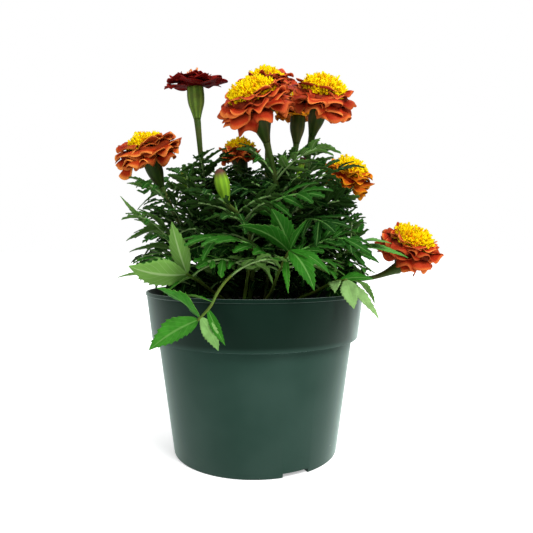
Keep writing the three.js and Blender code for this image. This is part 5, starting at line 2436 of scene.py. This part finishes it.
@dataclass
class Studio:
    """A plain pale floor, soft light, and the camera at the photograph's angle, in metres and radians."""

    eye: Spot = (0.0008, -0.376, 0.1464)
    pitch: float = 0.0312
    yaw: float = 0.0201
    lens: float = 33.85
    sensor: float = 36.0
    aim: Spot = (0.0, 0.0, 0.14)
    white: Color = (0.94, 0.94, 0.945)
    floor_width: float = 60.0
    floor_top: float = -0.0002
    floor_roughness: float = 0.9
    floor_gloss: float = 0.1
    sky: float = 0.42
    glow: float = 0.42
    glow_from: float = 0.3
    glow_to: float = 1.5

    def light(self, lamp: Lamp) -> None:
        """Adds a lamp that faces the plant.

        Args:
            lamp: its facts.
        """
        alone()
        facing = (Vector(self.aim) - Vector(lamp.place)).to_track_quat("-Z", "Y").to_euler()
        bpy.ops.object.light_add(type="AREA", location=lamp.place, rotation=facing)
        made = bpy.context.object
        made.name = lamp.name
        made.data.shape = "DISK"
        made.data.size = lamp.width
        made.data.energy = lamp.power

    def lay_floor(self) -> None:
        """Lays the floor, which glows to white away from the plant where the camera sees it."""
        alone()
        bpy.ops.mesh.primitive_plane_add(size=self.floor_width, location=(0, 0, self.floor_top))
        floor = bpy.context.object
        floor.name = "floor"
        made, shader, skin = material("Floor white", self.white)
        plain(skin, Base_Color=(*self.white, 1.0), Roughness=self.floor_roughness,
              Specular_IOR_Level=self.floor_gloss, Emission_Color=(1.0, 1.0, 1.0, 1.0))
        seen = shader.add("LightPath").outputs["Is Camera Ray"]
        away = shader.add("VectorMath", operation="LENGTH")
        shader.put(away.inputs[0], shader.add("TexCoord").outputs["Object"])
        glow = shader.span(away.outputs["Value"], self.glow_from, self.glow_to, self.glow, 1.0)
        shader.put(skin.inputs["Emission Strength"], shader.math("MULTIPLY", seen, glow))
        floor.data.materials.append(made)

    def build(self) -> None:
        """Makes the floor, the world, the lamps and the camera."""
        self.lay_floor()
        world = bpy.data.worlds.new("Studio")
        world.use_nodes = True
        shader = Shader(world.node_tree)
        back = world.node_tree.nodes["Background"]
        plain(back, Color=(1.0, 1.0, 1.0, 1.0))
        seen = shader.add("LightPath").outputs["Is Camera Ray"]
        shader.put(back.inputs["Strength"], shader.math("MULTIPLY_ADD", seen, 1 - self.sky, self.sky))
        bpy.context.scene.world = world
        for lamp in LAMPS:
            self.light(lamp)
        alone()
        bpy.ops.object.camera_add(location=self.eye, rotation=(math.pi / 2 - self.pitch, 0, -self.yaw))
        camera = bpy.context.object
        camera.data.lens = self.lens
        camera.data.sensor_width = self.sensor
        bpy.context.scene.camera = camera
        bpy.context.scene.view_settings.view_transform = "Standard"


def dress_blooms(layout: Layout, effects: Effects) -> list[Thing]:
    """Makes the petals and crest of every bloom.

    Args:
        layout: the plant's layout.
        effects: the shared node groups.

    Returns:
        Their objects.
    """
    first_seed = 100
    petal = sheet_form(across=16, along=9)
    floret = floret_form()
    alone()
    bpy.ops.mesh.primitive_uv_sphere_add(segments=20, ring_count=12, radius=1)
    core = Form.taken(bpy.context.object)
    heart = heart_form()
    flames = {palette: finish.make(effects) for palette, finish in PETALS.items()}
    golds = {dark: finish.make(effects) for dark, finish in FLORETS.items()}
    made = []
    for number, stem in enumerate(layout.stems):
        if stem.shoot.head.kind is HeadKind.BLOOM:
            one = Bloom(stem, petal, floret, core, heart, first_seed + number)
            made.append(one.petals(flames[stem.shoot.head.palette]))
            made.append(one.crest(golds[one.dark]))
    return made


def main() -> None:
    """Builds every piece in order and reports each one."""
    logging.basicConfig(level=logging.INFO, format="%(message)s")
    effects = Effects(mottle_effect(), blade_effect())
    layout = Layout()
    LOG.info("leaves by rule: %d, small ones between: %d", len(layout.leaves), len(layout.fillers))
    pieces = [Pot().dress(PotFinish().make(effects)), Soil().dress(SoilFinish().make(effects))]
    foliage = Foliage(layout)
    greens = [finish.make(effects) for finish in (LeafFinish(), StemFinish(), BUD)]
    pieces += [foliage.dress(owner, greens) for owner in range(len(layout.stems))]
    pieces += dress_blooms(layout, effects)
    for piece in pieces:
        LOG.info("%s: %d faces", piece.name, len(piece.data.polygons))
    Studio().build()


if __name__ == "__main__":
    main()
